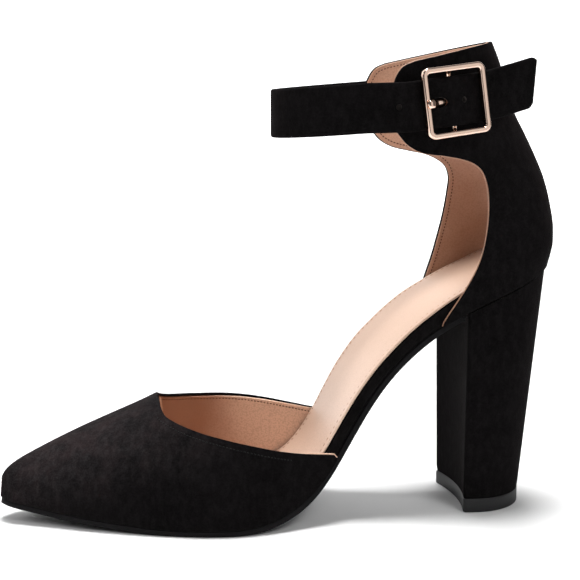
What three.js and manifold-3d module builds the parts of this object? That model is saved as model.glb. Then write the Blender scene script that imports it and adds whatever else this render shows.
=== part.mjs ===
// A left ankle strap pump: closed pointed vamp, open waist, closed counter with an ankle cuff,
// block heel, and a buckled ankle strap. Millimetres, +Z up, toe towards -X, lateral side at -Y.
import * as THREE from 'three';
import { mergeVertices } from 'three/addons/utils/BufferGeometryUtils.js';
import Module from 'manifold-3d';

const wasm = await Module();
wasm.setup();

// Driving dimensions: whole shoe
const shoeLength = 223;
const ballWidth = 75;
const waistWidth = 49;
const seatWidth = 53;
const toeRadius = 8;
const toeSpring = 7;
const seatRise = 98;
const clearance = 0.3;

// Driving dimensions: bottom
const outsoleThickness = 2.6;
const outsoleInset = 0.6;
const footbedThickness = 4.4;
const archRise = 2.6;
const seatPad = 3.4;
const footbedEdgeRadius = 1.2;
const sockThickness = 1.0;
const sockMargin = 0.5;

// Driving dimensions: vamp
const vampWall = 1.8;
const throatAlong = 62.7;
const throatHeight = 44;
const crestShift = 4;
const lateralWingEnd = 133.5;
const medialWingEnd = 138.5;
const sectionPower = 2.4;

// Driving dimensions: quarter with its ankle cuff
const quarterWall = 2.2;
const seatEnd = 221.2;
const seatArcDepth = 23.5;
const cuffHeight = 187.3;
const cuffBack = 197;
const cuffSlope = 0.225;
const cuffOvalReach = 59;

// Driving dimensions: heel and top lift
const breastAlong = 184;
const breastHollow = 2.8;
const heelInset = 0;
const liftThickness = 5.6;
const liftWidth = 44.4;
const liftDepth = 28.5;
const liftArcDepth = 21;
const liftAlong = 183.2;

// Driving dimensions: ankle strap
const strapWidth = 18.8;
const strapThickness = 2.2;
const strapFront = 110;
const strapFrontHeight = 159;
const strapLoopCentre = 146;
const strapLoopHalfWidth = 27.6;
const strapMedialEnd = 174;
const strapTail = 37;
const tailSlant = 21;
const tailLift = 3;

// Driving dimensions: buckle
const buckleSize = 26.6;
const buckleAlong = 173.2;
const buckleHeight = 163.9;
const buckleTurn = 13;
const buckleLean = 3;
const buckleSlope = 7;
const barWidth = 2.1;
const barDepth = 3;
const barBevel = 0.5;
const pinRadius = 0.9;
const lugWidth = 4.4;
const tabThickness = 0.9;
const tabWidth = 15;
const tabLength = 17;
const prongWidth = 2.6;
const prongThickness = 1.1;
const prongSlotWidth = 3.8;

// Levels above the outsole's underside, along the normal of the bottom profile
const upperBase = outsoleThickness + clearance;

const soleTable = [
  { along: 0, spring: 1.0, rise: 0.0 },
  { along: 0.0444, spring: 0.77, rise: 0.0 },
  { along: 0.1009, spring: 0.49, rise: 0.0 },
  { along: 0.1564, spring: 0.31, rise: 0.0 },
  { along: 0.224, spring: 0.13, rise: 0.0 },
  { along: 0.2956, spring: 0.0, rise: 0.0 },
  { along: 0.4127, spring: 0.0, rise: 0.0 },
  { along: 0.4661, spring: 0.0, rise: 0.018 },
  { along: 0.5156, spring: 0.0, rise: 0.062 },
  { along: 0.561, spring: 0.0, rise: 0.138 },
  { along: 0.5963, spring: 0.0, rise: 0.245 },
  { along: 0.6326, spring: 0.0, rise: 0.388 },
  { along: 0.673, spring: 0.0, rise: 0.526 },
  { along: 0.7174, spring: 0.0, rise: 0.638 },
  { along: 0.7668, spring: 0.0, rise: 0.73 },
  { along: 0.8253, spring: 0.0, rise: 0.806 },
  { along: 0.9101, spring: 0.0, rise: 0.898 },
  { along: 1.009, spring: 0.0, rise: 1.0 },
];

// Half widths of the shoe's outer outline, as shares of the size in the last column
const outlineTable = [
  { along: 0, lateral: 0.08, medial: 0.08, of: ballWidth },
  { along: 0.0444, lateral: 0.128, medial: 0.136, of: ballWidth },
  { along: 0.0898, lateral: 0.192, medial: 0.207, of: ballWidth },
  { along: 0.1574, lateral: 0.292, medial: 0.3, of: ballWidth },
  { along: 0.224, lateral: 0.376, medial: 0.379, of: ballWidth },
  { along: 0.2916, lateral: 0.448, medial: 0.44, of: ballWidth },
  { along: 0.3592, lateral: 0.496, medial: 0.475, of: ballWidth },
  { along: 0.4036, lateral: 0.507, medial: 0.475, of: ballWidth },
  { along: 0.4571, lateral: 0.488, medial: 0.447, of: ballWidth },
  { along: 0.5156, lateral: 0.437, medial: 0.396, of: ballWidth },
  { along: 0.565, lateral: 0.588, medial: 0.539, of: waistWidth },
  { along: 0.6276, lateral: 0.518, medial: 0.49, of: waistWidth },
  { along: 0.6952, lateral: 0.496, medial: 0.508, of: waistWidth },
  { along: 0.7628, lateral: 0.464, medial: 0.464, of: seatWidth },
  { along: 0.8294, lateral: 0.485, medial: 0.485, of: seatWidth },
  { along: 0.8879, lateral: 0.498, medial: 0.498, of: seatWidth },
  { along: 1.009, lateral: 0.5, medial: 0.5, of: seatWidth },
];

// Height of the vamp's crest over its base, as a share of the throat height. Behind the throat
// it is the instep that the open sides still lean towards.
const crestTable = [
  { along: 0.0, height: 0.17 },
  { along: 0.005, height: 0.225 },
  { along: 0.022, height: 0.315 },
  { along: 0.051, height: 0.42 },
  { along: 0.09, height: 0.54 },
  { along: 0.135, height: 0.66 },
  { along: 0.184, height: 0.778 },
  { along: 0.233, height: 0.89 },
  { along: 0.281, height: 1.0 },
  { along: 0.314, height: 1.07 },
  { along: 0.36, height: 1.18 },
  { along: 0.426, height: 1.34 },
  { along: 0.493, height: 1.48 },
  { along: 0.583, height: 1.62 },
  { along: 0.673, height: 1.7 },
];

// The vamp's topline seen from the side. Back runs from the throat to each wing's tip, the heights
// over the floor are shares of the throat's height.
const toplineTable = [
  { back: 0.0, lateral: 1.12, medial: 1.12 },
  { back: 0.007, lateral: 1.042, medial: 1.062 },
  { back: 0.0275, lateral: 0.985, medial: 1.015 },
  { back: 0.06, lateral: 0.958, medial: 0.992 },
  { back: 0.106, lateral: 0.93, medial: 0.975 },
  { back: 0.221, lateral: 0.877, medial: 0.955 },
  { back: 0.337, lateral: 0.834, medial: 0.942 },
  { back: 0.496, lateral: 0.773, medial: 0.92 },
  { back: 0.656, lateral: 0.705, medial: 0.882 },
  { back: 0.786, lateral: 0.659, medial: 0.838 },
  { back: 0.9, lateral: 0.634, medial: 0.8 },
  { back: 1.0, lateral: 0.622, medial: 0.81 },
];

// How far up the section's arc the vamp is drawn before its topline is cut, as a share of a
// quarter turn
const arcTable = [
  { along: 0.0, cap: 1.0 },
  { along: 0.33, cap: 1.0 },
  { along: 0.36, cap: 0.86 },
  { along: 0.4, cap: 0.72 },
  { along: 0.45, cap: 0.58 },
  { along: 0.5, cap: 0.5 },
  { along: 0.55, cap: 0.42 },
  { along: 0.64, cap: 0.34 },
];

// The quarter from the seat up to the cuff's top edge. Back is a share of the shoe's length,
// width and depth are scales of the seat's own outline, which turns oval towards the cuff.
const quarterTable = [
  { level: -0.1, back: 0.9879, width: 0.98, depth: 1.0, oval: 0.0 },
  { level: 0.0, back: 0.9919, width: 1.0, depth: 1.0, oval: 0.0 },
  { level: 0.045, back: 0.9965, width: 1.03, depth: 1.0, oval: 0.0 },
  { level: 0.09, back: 1.0000, width: 1.055, depth: 1.0, oval: 0.0 },
  { level: 0.15, back: 0.9995, width: 1.08, depth: 1.0, oval: 0.03 },
  { level: 0.25, back: 0.9937, width: 1.1, depth: 0.99, oval: 0.15 },
  { level: 0.37, back: 0.9825, width: 1.1, depth: 0.97, oval: 0.38 },
  { level: 0.48, back: 0.9664, width: 1.09, depth: 0.93, oval: 0.65 },
  { level: 0.58, back: 0.9488, width: 1.075, depth: 0.88, oval: 0.85 },
  { level: 0.7, back: 0.926, width: 1.06, depth: 0.83, oval: 1.0 },
  { level: 0.8, back: 0.9115, width: 1.05, depth: 0.8, oval: 1.0 },
  { level: 0.905, back: 0.8993, width: 1.04, depth: 0.78, oval: 1.0 },
  { level: 1.0, back: 0.8835, width: 1.02, depth: 0.76, oval: 1.0 },
  { level: 1.08, back: 0.8698, width: 1.01, depth: 0.75, oval: 1.0 },
];

// The quarter's front edge, from the wing's tip on the footbed's side up round the ankle opening
// and the ear, to the cuff's top edge
const quarterEdgeTable = [
  { level: 0.0, lateral: 0.7719, medial: 0.7648 },
  { level: 0.03, lateral: 0.7850, medial: 0.7769 },
  { level: 0.065, lateral: 0.8001, medial: 0.7900 },
  { level: 0.115, lateral: 0.8193, medial: 0.8010 },
  { level: 0.175, lateral: 0.8354, medial: 0.8133 },
  { level: 0.24, lateral: 0.8445, medial: 0.8234 },
  { level: 0.33, lateral: 0.8511, medial: 0.8345 },
  { level: 0.42, lateral: 0.8526, medial: 0.8410 },
  { level: 0.475, lateral: 0.8501, medial: 0.8420 },
  { level: 0.525, lateral: 0.8425, medial: 0.8344 },
  { level: 0.565, lateral: 0.8274, medial: 0.8183 },
  { level: 0.6, lateral: 0.8041, medial: 0.7971 },
  { level: 0.637, lateral: 0.7719, medial: 0.7668 },
  { level: 0.665, lateral: 0.7315, medial: 0.7335 },
  { level: 0.70, lateral: 0.7063, medial: 0.7103 },
  { level: 0.74, lateral: 0.6911, medial: 0.6962 },
  { level: 0.78, lateral: 0.6800, medial: 0.6841 },
  { level: 0.85, lateral: 0.6750, medial: 0.6780 },
  { level: 0.91, lateral: 0.6770, medial: 0.6790 },
  { level: 0.96, lateral: 0.6841, medial: 0.6871 },
  { level: 0.99, lateral: 0.6962, medial: 0.6992 },
  { level: 1.0, lateral: 0.7164, medial: 0.7184 },
];

// A smooth curve through a table's rows that never overshoots them
function curveOf(table, inputs, outputs) {
  const x = table.map(inputs);
  const y = table.map(outputs);
  const last = x.length - 1;
  const secant = x.slice(1).map((value, i) => (y[i + 1] - y[i]) / (value - x[i]));
  const slope = x.map((value, i) => {
    if (i === 0) return secant[0];
    if (i === last) return secant[last - 1];
    const before = secant[i - 1];
    const after = secant[i];
    if (before * after <= 0) return 0;
    const stepBefore = x[i] - x[i - 1];
    const stepAfter = x[i + 1] - x[i];
    const weightBefore = 2 * stepAfter + stepBefore;
    const weightAfter = stepAfter + 2 * stepBefore;
    return (weightBefore + weightAfter) / (weightBefore / before + weightAfter / after);
  });
  return (at) => {
    if (at <= x[0]) return y[0] + slope[0] * (at - x[0]);
    if (at >= x[last]) return y[last] + slope[last] * (at - x[last]);
    let i = 0;
    while (at > x[i + 1]) i += 1;
    const step = x[i + 1] - x[i];
    const t = (at - x[i]) / step;
    const rest = 1 - t;
    const ends = y[i] * (1 + 2 * t) * rest * rest + y[i + 1] * t * t * (3 - 2 * t);
    const slopes = slope[i] * t * rest * rest - slope[i + 1] * t * t * rest;
    return ends + slopes * step;
  };
}

const alongOf = (row) => row.along * shoeLength;
const mix = (a, b, share) => a + (b - a) * share;

// A curve averaged over a short reach, which takes the last unevenness out of its bend
function eased(curve, reach) {
  const shares = [-1, -0.75, -0.5, -0.25, 0, 0.25, 0.5, 0.75, 1];
  return (at) => shares.reduce((sum, share) => sum + curve(at + share * reach), 0) / shares.length;
}

const soleEase = 6;
const soleHeight = eased(
  curveOf(soleTable, alongOf, (row) => row.spring * toeSpring + row.rise * seatRise),
  soleEase,
);
const outlines = {
  lateral: curveOf(outlineTable, alongOf, (row) => row.lateral * row.of),
  medial: curveOf(outlineTable, alongOf, (row) => row.medial * row.of),
};
const signs = { lateral: -1, medial: 1 };
const crestHeight = curveOf(crestTable, alongOf, (row) => row.height * throatHeight);

function smoothStep(from, to, at) {
  const t = Math.min(1, Math.max(0, (at - from) / (to - from)));
  return t * t * (3 - 2 * t);
}

// Half width of the outer outline, rounded off at the toe and at the back of the seat
function outerHalf(side, along) {
  const arcStart = seatEnd - seatArcDepth;
  let half = outlines[side](along);
  if (along < toeRadius) half *= Math.sqrt(Math.max(0, 1 - (1 - along / toeRadius) ** 2));
  if (along > arcStart) {
    const reach = Math.min(1, (along - arcStart) / seatArcDepth);
    half *= (1 - reach ** 2.2) ** (1 / 2.2);
  }
  return half;
}

// A point over the sole's profile: station along it, sideways place and level along its normal
function overSole(along, sideways, level, reach = 0.05) {
  const rise = (soleHeight(along + reach) - soleHeight(along - reach)) / (2 * reach);
  const slant = Math.atan(rise);
  return new THREE.Vector3(
    along - level * Math.sin(slant),
    sideways,
    soleHeight(along) + level * Math.cos(slant),
  );
}

// The outline moved inwards by a distance, along its own normal in the plane of the sole
function insetEdge(side, along, inset) {
  const reach = 0.02;
  const low = Math.max(0, along - reach);
  const high = Math.min(seatEnd, along + reach);
  const rise = (outerHalf(side, high) - outerHalf(side, low)) / (high - low);
  const length = Math.hypot(1, rise);
  return {
    along: along + (inset * rise) / length,
    half: Math.max(0, outerHalf(side, along) - inset / length),
  };
}

// Turns lists of points and triangles into a geometry without doubled points or empty triangles
function geometryOf(points, triangles) {
  const geometry = new THREE.BufferGeometry();
  const flat = points.flatMap((point) => [point.x, point.y, point.z]);
  geometry.setAttribute('position', new THREE.Float32BufferAttribute(flat, 3));
  geometry.setIndex(triangles.flat());
  const merged = mergeVertices(geometry, 1e-4);
  const index = merged.getIndex().array;
  const kept = [];
  for (let i = 0; i < index.length; i += 3) {
    const [a, b, c] = [index[i], index[i + 1], index[i + 2]];
    if (a !== b && b !== c && c !== a) kept.push(a, b, c);
  }
  const used = [...new Set(kept)];
  const place = new Map(used.map((from, to) => [from, to]));
  const position = merged.getAttribute('position');
  const compact = new THREE.BufferGeometry();
  const corners = used.flatMap((k) => [position.getX(k), position.getY(k), position.getZ(k)]);
  compact.setAttribute('position', new THREE.Float32BufferAttribute(corners, 3));
  compact.setIndex(kept.map((k) => place.get(k)));
  return compact;
}

// A closed body through rings of points, with a ladder of triangles across each end
function loft(rings) {
  const count = rings[0].length;
  const points = rings.flat();
  const triangles = [];
  for (let row = 0; row < rings.length - 1; row += 1) {
    for (let k = 0; k < count; k += 1) {
      const next = (k + 1) % count;
      const a = row * count + k;
      const b = row * count + next;
      const c = a + count;
      const d = b + count;
      triangles.push([a, b, d], [a, d, c]);
    }
  }
  const ladder = (start, turned) => {
    let low = 0;
    let high = count - 1;
    while (high - low > 1) {
      const steps = [[low, low + 1, high]];
      if (high - low > 2) steps.push([low + 1, high - 1, high]);
      for (const step of steps) {
        const corners = step.map((k) => start + k);
        triangles.push(turned ? corners : corners.reverse());
      }
      low += 1;
      high -= 1;
    }
  };
  ladder(0, false);
  ladder((rings.length - 1) * count, true);
  return outward(geometryOf(points, triangles));
}

function signedVolume(geometry) {
  const position = geometry.getAttribute('position');
  const index = geometry.getIndex().array;
  const corner = (i) => new THREE.Vector3().fromBufferAttribute(position, index[i]);
  let volume = 0;
  for (let i = 0; i < index.length; i += 3) {
    volume += corner(i).dot(corner(i + 1).cross(corner(i + 2))) / 6;
  }
  return volume;
}

// Turns the faces of a closed body so that they point out
function outward(geometry) {
  if (signedVolume(geometry) < 0) {
    const index = geometry.getIndex().array;
    for (let i = 0; i < index.length; i += 3) {
      [index[i], index[i + 1]] = [index[i + 1], index[i]];
    }
  }
  return geometry;
}

// An open sheet moved along its own normals, as a list of points
function offsetPoints(sheet, distance) {
  sheet.computeVertexNormals();
  const position = sheet.getAttribute('position');
  const normal = sheet.getAttribute('normal');
  return Array.from({ length: position.count }, (unused, i) => {
    const point = new THREE.Vector3().fromBufferAttribute(position, i);
    return point.addScaledVector(new THREE.Vector3().fromBufferAttribute(normal, i), distance);
  });
}

// A wall of even thickness on the inner side of an open sheet whose faces point out
function wallInside(sheet, wall) {
  const outer = offsetPoints(sheet, 0);
  const inner = offsetPoints(sheet, -wall);
  const index = Array.from(sheet.getIndex().array);
  const count = outer.length;
  const triangles = [];
  const open = new Map();
  for (let i = 0; i < index.length; i += 3) {
    const corners = [index[i], index[i + 1], index[i + 2]];
    triangles.push(corners, [corners[2] + count, corners[1] + count, corners[0] + count]);
    corners.forEach((from, k) => {
      const to = corners[(k + 1) % 3];
      const back = `${to} ${from}`;
      if (open.has(back)) open.delete(back);
      else open.set(`${from} ${to}`, [from, to]);
    });
  }
  for (const [from, to] of open.values()) {
    triangles.push([to, from, from + count], [to, from + count, to + count]);
  }
  return outward(geometryOf([...outer, ...inner], triangles));
}

function solidOf(geometry) {
  const position = mergeVertices(bare(geometry), 1e-4);
  return new wasm.Manifold(new wasm.Mesh({
    numProp: 3,
    vertProperties: new Float32Array(position.getAttribute('position').array),
    triVerts: new Uint32Array(position.getIndex().array),
  }));
}

function bare(geometry) {
  const copy = geometry.clone();
  copy.deleteAttribute('normal');
  copy.deleteAttribute('uv');
  return copy;
}

function geometryFrom(solid) {
  const mesh = solid.getMesh();
  const points = [];
  const triangles = [];
  for (let i = 0; i < mesh.vertProperties.length; i += mesh.numProp) {
    points.push(new THREE.Vector3(...mesh.vertProperties.slice(i, i + 3)));
  }
  for (let i = 0; i < mesh.triVerts.length; i += 3) triangles.push([...mesh.triVerts.slice(i, i + 3)]);
  return geometryOf(points, triangles);
}

// A side-view outline given in x and z, extruded across the shoe between two sideways places
function crosswisePrism(outline, from, to) {
  const shape = new THREE.Shape(outline.map((point) => new THREE.Vector2(point.x, point.z)));
  const geometry = new THREE.ExtrudeGeometry(shape, { depth: to - from, bevelEnabled: false });
  geometry.rotateX(Math.PI / 2);
  geometry.translate(0, to, 0);
  return geometry;
}

// Stations from the toe to the end of the seat, closer together where the outline turns
function bottomStations(end) {
  const nose = 5;
  const body = 26;
  const seat = 7;
  const bodyEnd = Math.min(end, seatEnd - seatArcDepth);
  const stations = [];
  for (let k = 0; k < nose; k += 1) stations.push(toeRadius * (k / nose) ** 2);
  for (let k = 0; k <= body; k += 1) stations.push(mix(toeRadius, bodyEnd, k / body));
  for (let k = 1; k <= seat && end > bodyEnd; k += 1) {
    stations.push(bodyEnd + (end - bodyEnd) * Math.sin((k / seat) * Math.PI / 2));
  }
  return stations;
}

// How far the pieces inside the upper lie in from the outer outline
function footbedInset(along) {
  return clearance + mix(vampWall, quarterWall, smoothStep(medialWingEnd, breastAlong, along));
}

// The footbed is thicker under the heel, and under the arch on the medial side
function footbedTop(along, side) {
  const pad = seatPad * smoothStep(medialWingEnd + 16, breastAlong + 6, along);
  const arch = smoothStep(medialWingEnd - 8, medialWingEnd + 15, along)
    * (1 - smoothStep(breastAlong - 28, breastAlong + 10, along));
  return upperBase + footbedThickness + pad + (side === 'medial' ? archRise * arch : 0);
}

// The upper's lean at a level over its base, as a share of the half width there
function leanShare(along, level) {
  const up = Math.min(1, Math.max(0, (level - upperBase) / crestHeight(Math.min(along, medialWingEnd))));
  return (1 - up ** sectionPower) ** (1 / sectionPower);
}

function flatEdge(side, along, inset, level) {
  const lean = along < throatAlong ? leanShare(along, level) : 1;
  const edge = insetEdge(side, along, inset);
  return { along: edge.along, half: edge.half * lean };
}

// A point of a layer: its levels stand along the sole's normal in the waist and upright over
// the seat, where its edge follows the quarter's hollow
function layerPoint(side, edge, inwards, level) {
  const normal = overSole(edge.along, 0, level);
  const base = overSole(edge.along, 0, 0);
  const reach = normal.distanceTo(base) ** 2 / Math.max(1e-6, normal.z - base.z);
  const seated = smoothStep(medialWingEnd, quarterRoot, edge.along);
  const upright = new THREE.Vector3(edge.along, 0, base.z + reach);
  const point = level > 0 ? normal.lerp(upright, seated) : base;
  const place = Math.min(point.x, seatEnd - clearance);
  const spread = cuffHalf(side, place, point.z) - cuffHalf(side, place, quarterLow(place));
  point.y = signs[side] * (edge.half - inwards + Math.max(0, spread) * seated);
  return point;
}

// A layer of the bottom: each ring has rounded edges on both sides
function layer(stations, insetAt, lowAt, highAt, radius) {
  const corner = [[1, 0], [0.29, 0.29], [0, 1]];
  const rings = stations.map((station) => {
    const halfRing = (side) => {
      const low = lowAt(station, side);
      const high = highAt(station, side);
      const edge = flatEdge(side, station, insetAt(station), high);
      const round = Math.min(radius, (high - low) / 2.2, edge.half / 2);
      const at = (inwards, level) => layerPoint(side, edge, inwards, level);
      const lower = corner.map(([inwards, up]) => at(inwards * round, low + up * round));
      const upper = corner.map(([inwards, up]) => at(inwards * round, high - up * round)).reverse();
      return [...lower, ...upper];
    };
    const medial = halfRing('medial');
    const lateral = halfRing('lateral').reverse();
    const top = medial[medial.length - 1].clone().lerp(lateral[0], 0.5);
    const bottom = medial[0].clone().lerp(lateral[lateral.length - 1], 0.5);
    return [...medial, top, ...lateral, bottom];
  });
  return loft(rings);
}

function makeOutsole() {
  const end = breastAlong - clearance - outsoleThickness / 2;
  const stations = bottomStations(end);
  const wingTip = medialWingEnd;
  const insetAt = (along) => {
    const waist = footbedInset(along) + outsoleInset;
    return mix(outsoleInset, waist, smoothStep(wingTip - 24, wingTip - 2, along));
  };
  const rings = stations.map((station) => {
    const bow = breastHollow * smoothStep(end - 12, end, station);
    const lateral = insetEdge('lateral', station, insetAt(station));
    const medial = insetEdge('medial', station, insetAt(station));
    const across = 4;
    const row = (level) => Array.from({ length: across + 1 }, (unused, k) => {
      const share = k / across;
      const along = mix(lateral.along, medial.along, share) + bow * (1 - (2 * share - 1) ** 2);
      return overSole(along, mix(-lateral.half, medial.half, share), level);
    });
    return [...row(0), ...row(outsoleThickness).reverse()];
  });
  return loft(rings);
}

// The quarter's outer face: a level over the seat and a station along the seat's own outline
const quarterBack = curveOf(quarterTable, (row) => row.level, (row) => row.back * shoeLength);
const quarterWidth = curveOf(quarterTable, (row) => row.level, (row) => row.width);
const quarterDepth = curveOf(quarterTable, (row) => row.level, (row) => row.depth);
const quarterOval = curveOf(quarterTable, (row) => row.level, (row) => row.oval);
const quarterRoot = Math.min(quarterEdgeTable[0].lateral, quarterEdgeTable[0].medial) * shoeLength;

// Height of the upper's base line at a place along the shoe
function quarterLow(along) {
  const place = Math.max(along, quarterRoot);
  let station = place;
  for (let pass = 0; pass < 5; pass += 1) station += place - overSole(station, 0, upperBase).x;
  return overSole(station, 0, upperBase).z;
}

function quarterHigh(along) {
  return cuffHeight + (along - cuffBack) * cuffSlope;
}

function quarterHeight(along, level) {
  return mix(quarterLow(along), quarterHigh(along), level);
}

function quarterHalf(side, seatStation, level) {
  const reach = Math.min(1, Math.abs(seatEnd - cuffOvalReach - seatStation) / cuffOvalReach);
  const oval = (seatWidth / 2) * Math.sqrt(1 - reach ** 2);
  return mix(outerHalf(side, seatStation), oval, quarterOval(level)) * quarterWidth(level);
}

function quarterPoint(side, seatStation, level) {
  const along = quarterBack(level) - (seatEnd - seatStation) * quarterDepth(level);
  const sideways = signs[side] * quarterHalf(side, seatStation, level);
  return new THREE.Vector3(along, sideways, quarterHeight(along, level));
}

// Half width of the quarter's outer face at a place on the cuff
function cuffHalf(side, along, height) {
  const level = (height - quarterLow(along)) / (quarterHigh(along) - quarterLow(along));
  const station = seatEnd - (quarterBack(level) - along) / quarterDepth(level);
  return quarterHalf(side, station, level);
}

function quarterSheet() {
  const levels = 15;
  const lowest = quarterTable[0].level;
  const highest = quarterTable[quarterTable.length - 1].level;
  const front = seatEnd - 96;
  const straight = 8;
  const turn = 9;
  const arcStart = seatEnd - seatArcDepth;
  const stations = [];
  for (let k = 0; k < straight; k += 1) stations.push(mix(front, arcStart, k / straight));
  for (let k = 0; k <= turn; k += 1) {
    stations.push(arcStart + seatArcDepth * Math.sin((k / turn) * Math.PI / 2));
  }
  const rows = Array.from({ length: levels + 1 }, (unused, k) => {
    const level = mix(lowest, highest, k / levels);
    const lateral = stations.map((station) => quarterPoint('lateral', station, level));
    const medial = stations.map((station) => quarterPoint('medial', station, level)).reverse();
    return [...lateral, ...medial.slice(1)];
  });
  const grid = gridOf(rows);
  return geometryOf(grid.points, grid.triangles);
}

function gridOf(rows) {
  const count = rows[0].length;
  const triangles = [];
  for (let row = 0; row < rows.length - 1; row += 1) {
    for (let k = 0; k < count - 1; k += 1) {
      const a = row * count + k;
      const c = a + count;
      triangles.push([a, a + 1, c + 1], [a, c + 1, c]);
    }
  }
  return { points: rows.flat(), triangles };
}

// Keeps the part of a shell that lies inside its two side-view outlines, which meet at a place
// across the shoe
function cutToSides(shell, outlineOf, reach, middle) {
  const lateral = solidOf(crosswisePrism(outlineOf('lateral'), -reach, middle));
  const medial = solidOf(crosswisePrism(outlineOf('medial'), middle, reach));
  return geometryFrom(shell.intersect(lateral.add(medial)));
}

function quarterOutline(side) {
  const knots = quarterEdgeTable.map((row) => {
    const along = row[side] * shoeLength;
    return new THREE.Vector3(along, 0, quarterHeight(along, row.level));
  });
  const front = new THREE.CatmullRomCurve3(knots, false, 'centripetal').getPoints(66);
  const beyond = shoeLength + 12;
  const top = [0.35, 0.7, 1].map((share) => {
    const along = mix(knots[knots.length - 1].x, beyond, share);
    return new THREE.Vector3(along, 0, quarterHigh(along));
  });
  const bottom = Array.from({ length: 13 }, (unused, k) => {
    const along = mix(beyond, knots[0].x, k / 13);
    return new THREE.Vector3(along, 0, quarterLow(along));
  });
  return [...front, ...top, ...bottom];
}

function makeQuarter() {
  const shell = solidOf(wallInside(quarterSheet(), quarterWall));
  return cutToSides(shell, quarterOutline, seatWidth, 0);
}

// The vamp's sections start along the sole's normal and turn upright over this height
const uprightOver = 12;
const vampFrameReach = 6;

// A point of the vamp's outer face: station and turn up the section's arc, in radians
function vampPoint(side, along, turn) {
  const out = Math.max(0, Math.cos(turn)) ** (2 / sectionPower);
  const up = Math.sin(turn) ** (2 / sectionPower);
  const shift = crestShift * Math.min(along / throatAlong, 1) * Math.sin(turn) ** 2;
  const sideways = signs[side] * outerHalf(side, along) * out + shift;
  const level = upperBase + crestHeight(along) * up;
  const slanted = uprightOver * (1 - Math.exp(-level / uprightOver));
  const point = overSole(along, sideways, slanted, vampFrameReach);
  point.z += level - slanted;
  return point;
}

// Half of the vamp's sheet, on one side of its crest
function vampHalf(side) {
  const nose = 5;
  const body = 26;
  const across = 12;
  const quarterTurn = Math.PI / 2;
  const capAt = curveOf(arcTable, alongOf, (row) => row.cap);
  const stations = [];
  for (let k = 0; k < nose; k += 1) stations.push(toeRadius * (k / nose) ** 2);
  for (let k = 0; k <= body; k += 1) stations.push(mix(toeRadius, medialWingEnd + 3, k / body));
  const rows = stations.map((along) => {
    return Array.from({ length: across + 1 }, (unused, k) => vampPoint(side, along, (quarterTurn * k) / across));
  });
  const grid = gridOf(rows);
  const turned = side === 'lateral';
  const triangles = grid.triangles.filter((corners) => {
    const row = Math.floor(corners[0] / (across + 1));
    const column = Math.max(...corners.map((k) => k % (across + 1)));
    return (column - 1) / across < Math.min(1, capAt(stations[row]));
  }).map((corners) => (turned ? [...corners].reverse() : corners));
  return { points: grid.points, triangles };
}

// The side view of the vamp on one side, bounded by its topline
function vampOutline(side) {
  const wingEnd = { lateral: lateralWingEnd, medial: medialWingEnd }[side];
  const knots = toplineTable.map((row) => {
    return new THREE.Vector3(mix(throatAlong, wingEnd, row.back), 0, row[side] * throatHeight);
  });
  const topline = new THREE.CatmullRomCurve3(knots, false, 'centripetal').getPoints(44);
  const below = -toeSpring;
  const corner = (along, height) => new THREE.Vector3(along, 0, height);
  return [
    corner(below, below), corner(below, 2 * throatHeight), corner(throatAlong, 2 * throatHeight),
    ...topline, corner(wingEnd, below),
  ];
}

function makeVamp() {
  const halves = ['lateral', 'medial'].map(vampHalf);
  const count = halves[0].points.length;
  const points = halves.flatMap((half) => half.points);
  const second = halves[1].triangles.map((corners) => corners.map((k) => k + count));
  const sheet = geometryOf(points, [...halves[0].triangles, ...second]);
  const shell = solidOf(wallInside(sheet, vampWall));
  return cutToSides(shell, vampOutline, ballWidth, crestShift);
}

function makeFootbed() {
  return layer(bottomStations(seatEnd), footbedInset, () => upperBase, footbedTop, footbedEdgeRadius);
}

function makeSock() {
  const low = (along, side) => footbedTop(along, side) + clearance;
  const high = (along, side) => low(along, side) + sockThickness;
  const insetAt = (along) => footbedInset(along) + sockMargin;
  return layer(bottomStations(seatEnd), insetAt, low, high, sockThickness / 3);
}

// Half width of the heel's foot, which is a letter D with its flat towards the toe
function liftHalf(along) {
  const arcStart = liftAlong + liftDepth - liftArcDepth;
  if (along <= arcStart) return mix(liftWidth / 2 - 0.5, liftWidth / 2, (along - liftAlong) / (arcStart - liftAlong));
  const reach = Math.min(1, (along - arcStart) / liftArcDepth);
  return (liftWidth / 2) * (1 - reach ** 1.9) ** (1 / 1.9);
}

// A body between two rows of matching points for each step from the breast to the back
function heelBody(lowPoint, highPoint) {
  const steps = 12;
  const across = 6;
  const rings = Array.from({ length: steps + 1 }, (unused, i) => {
    const share = Math.sin((i / steps) * Math.PI / 2);
    const bow = breastHollow * (1 - share) ** 3;
    const row = (place) => Array.from({ length: across + 1 }, (unusedToo, k) => {
      const sideShare = 2 * (k / across) - 1;
      return place(share, sideShare, bow * (1 - sideShare ** 2));
    });
    return [...row(lowPoint), ...row(highPoint).reverse()];
  });
  return loft(rings);
}

function liftPoint(height) {
  return (share, sideShare, bow) => {
    const along = liftAlong + liftDepth * share;
    return new THREE.Vector3(along + bow, sideShare * liftHalf(along), height);
  };
}

function makeHeel() {
  const seatPoint = (share, sideShare, bow) => {
    const station = mix(breastAlong, seatEnd, share);
    const side = sideShare < 0 ? 'lateral' : 'medial';
    const edge = insetEdge(side, station, heelInset);
    return overSole(edge.along + bow, sideShare * edge.half, outsoleThickness);
  };
  return heelBody(liftPoint(liftThickness), seatPoint);
}

function makeTopLift() {
  return heelBody(liftPoint(0), liftPoint(liftThickness));
}

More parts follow.
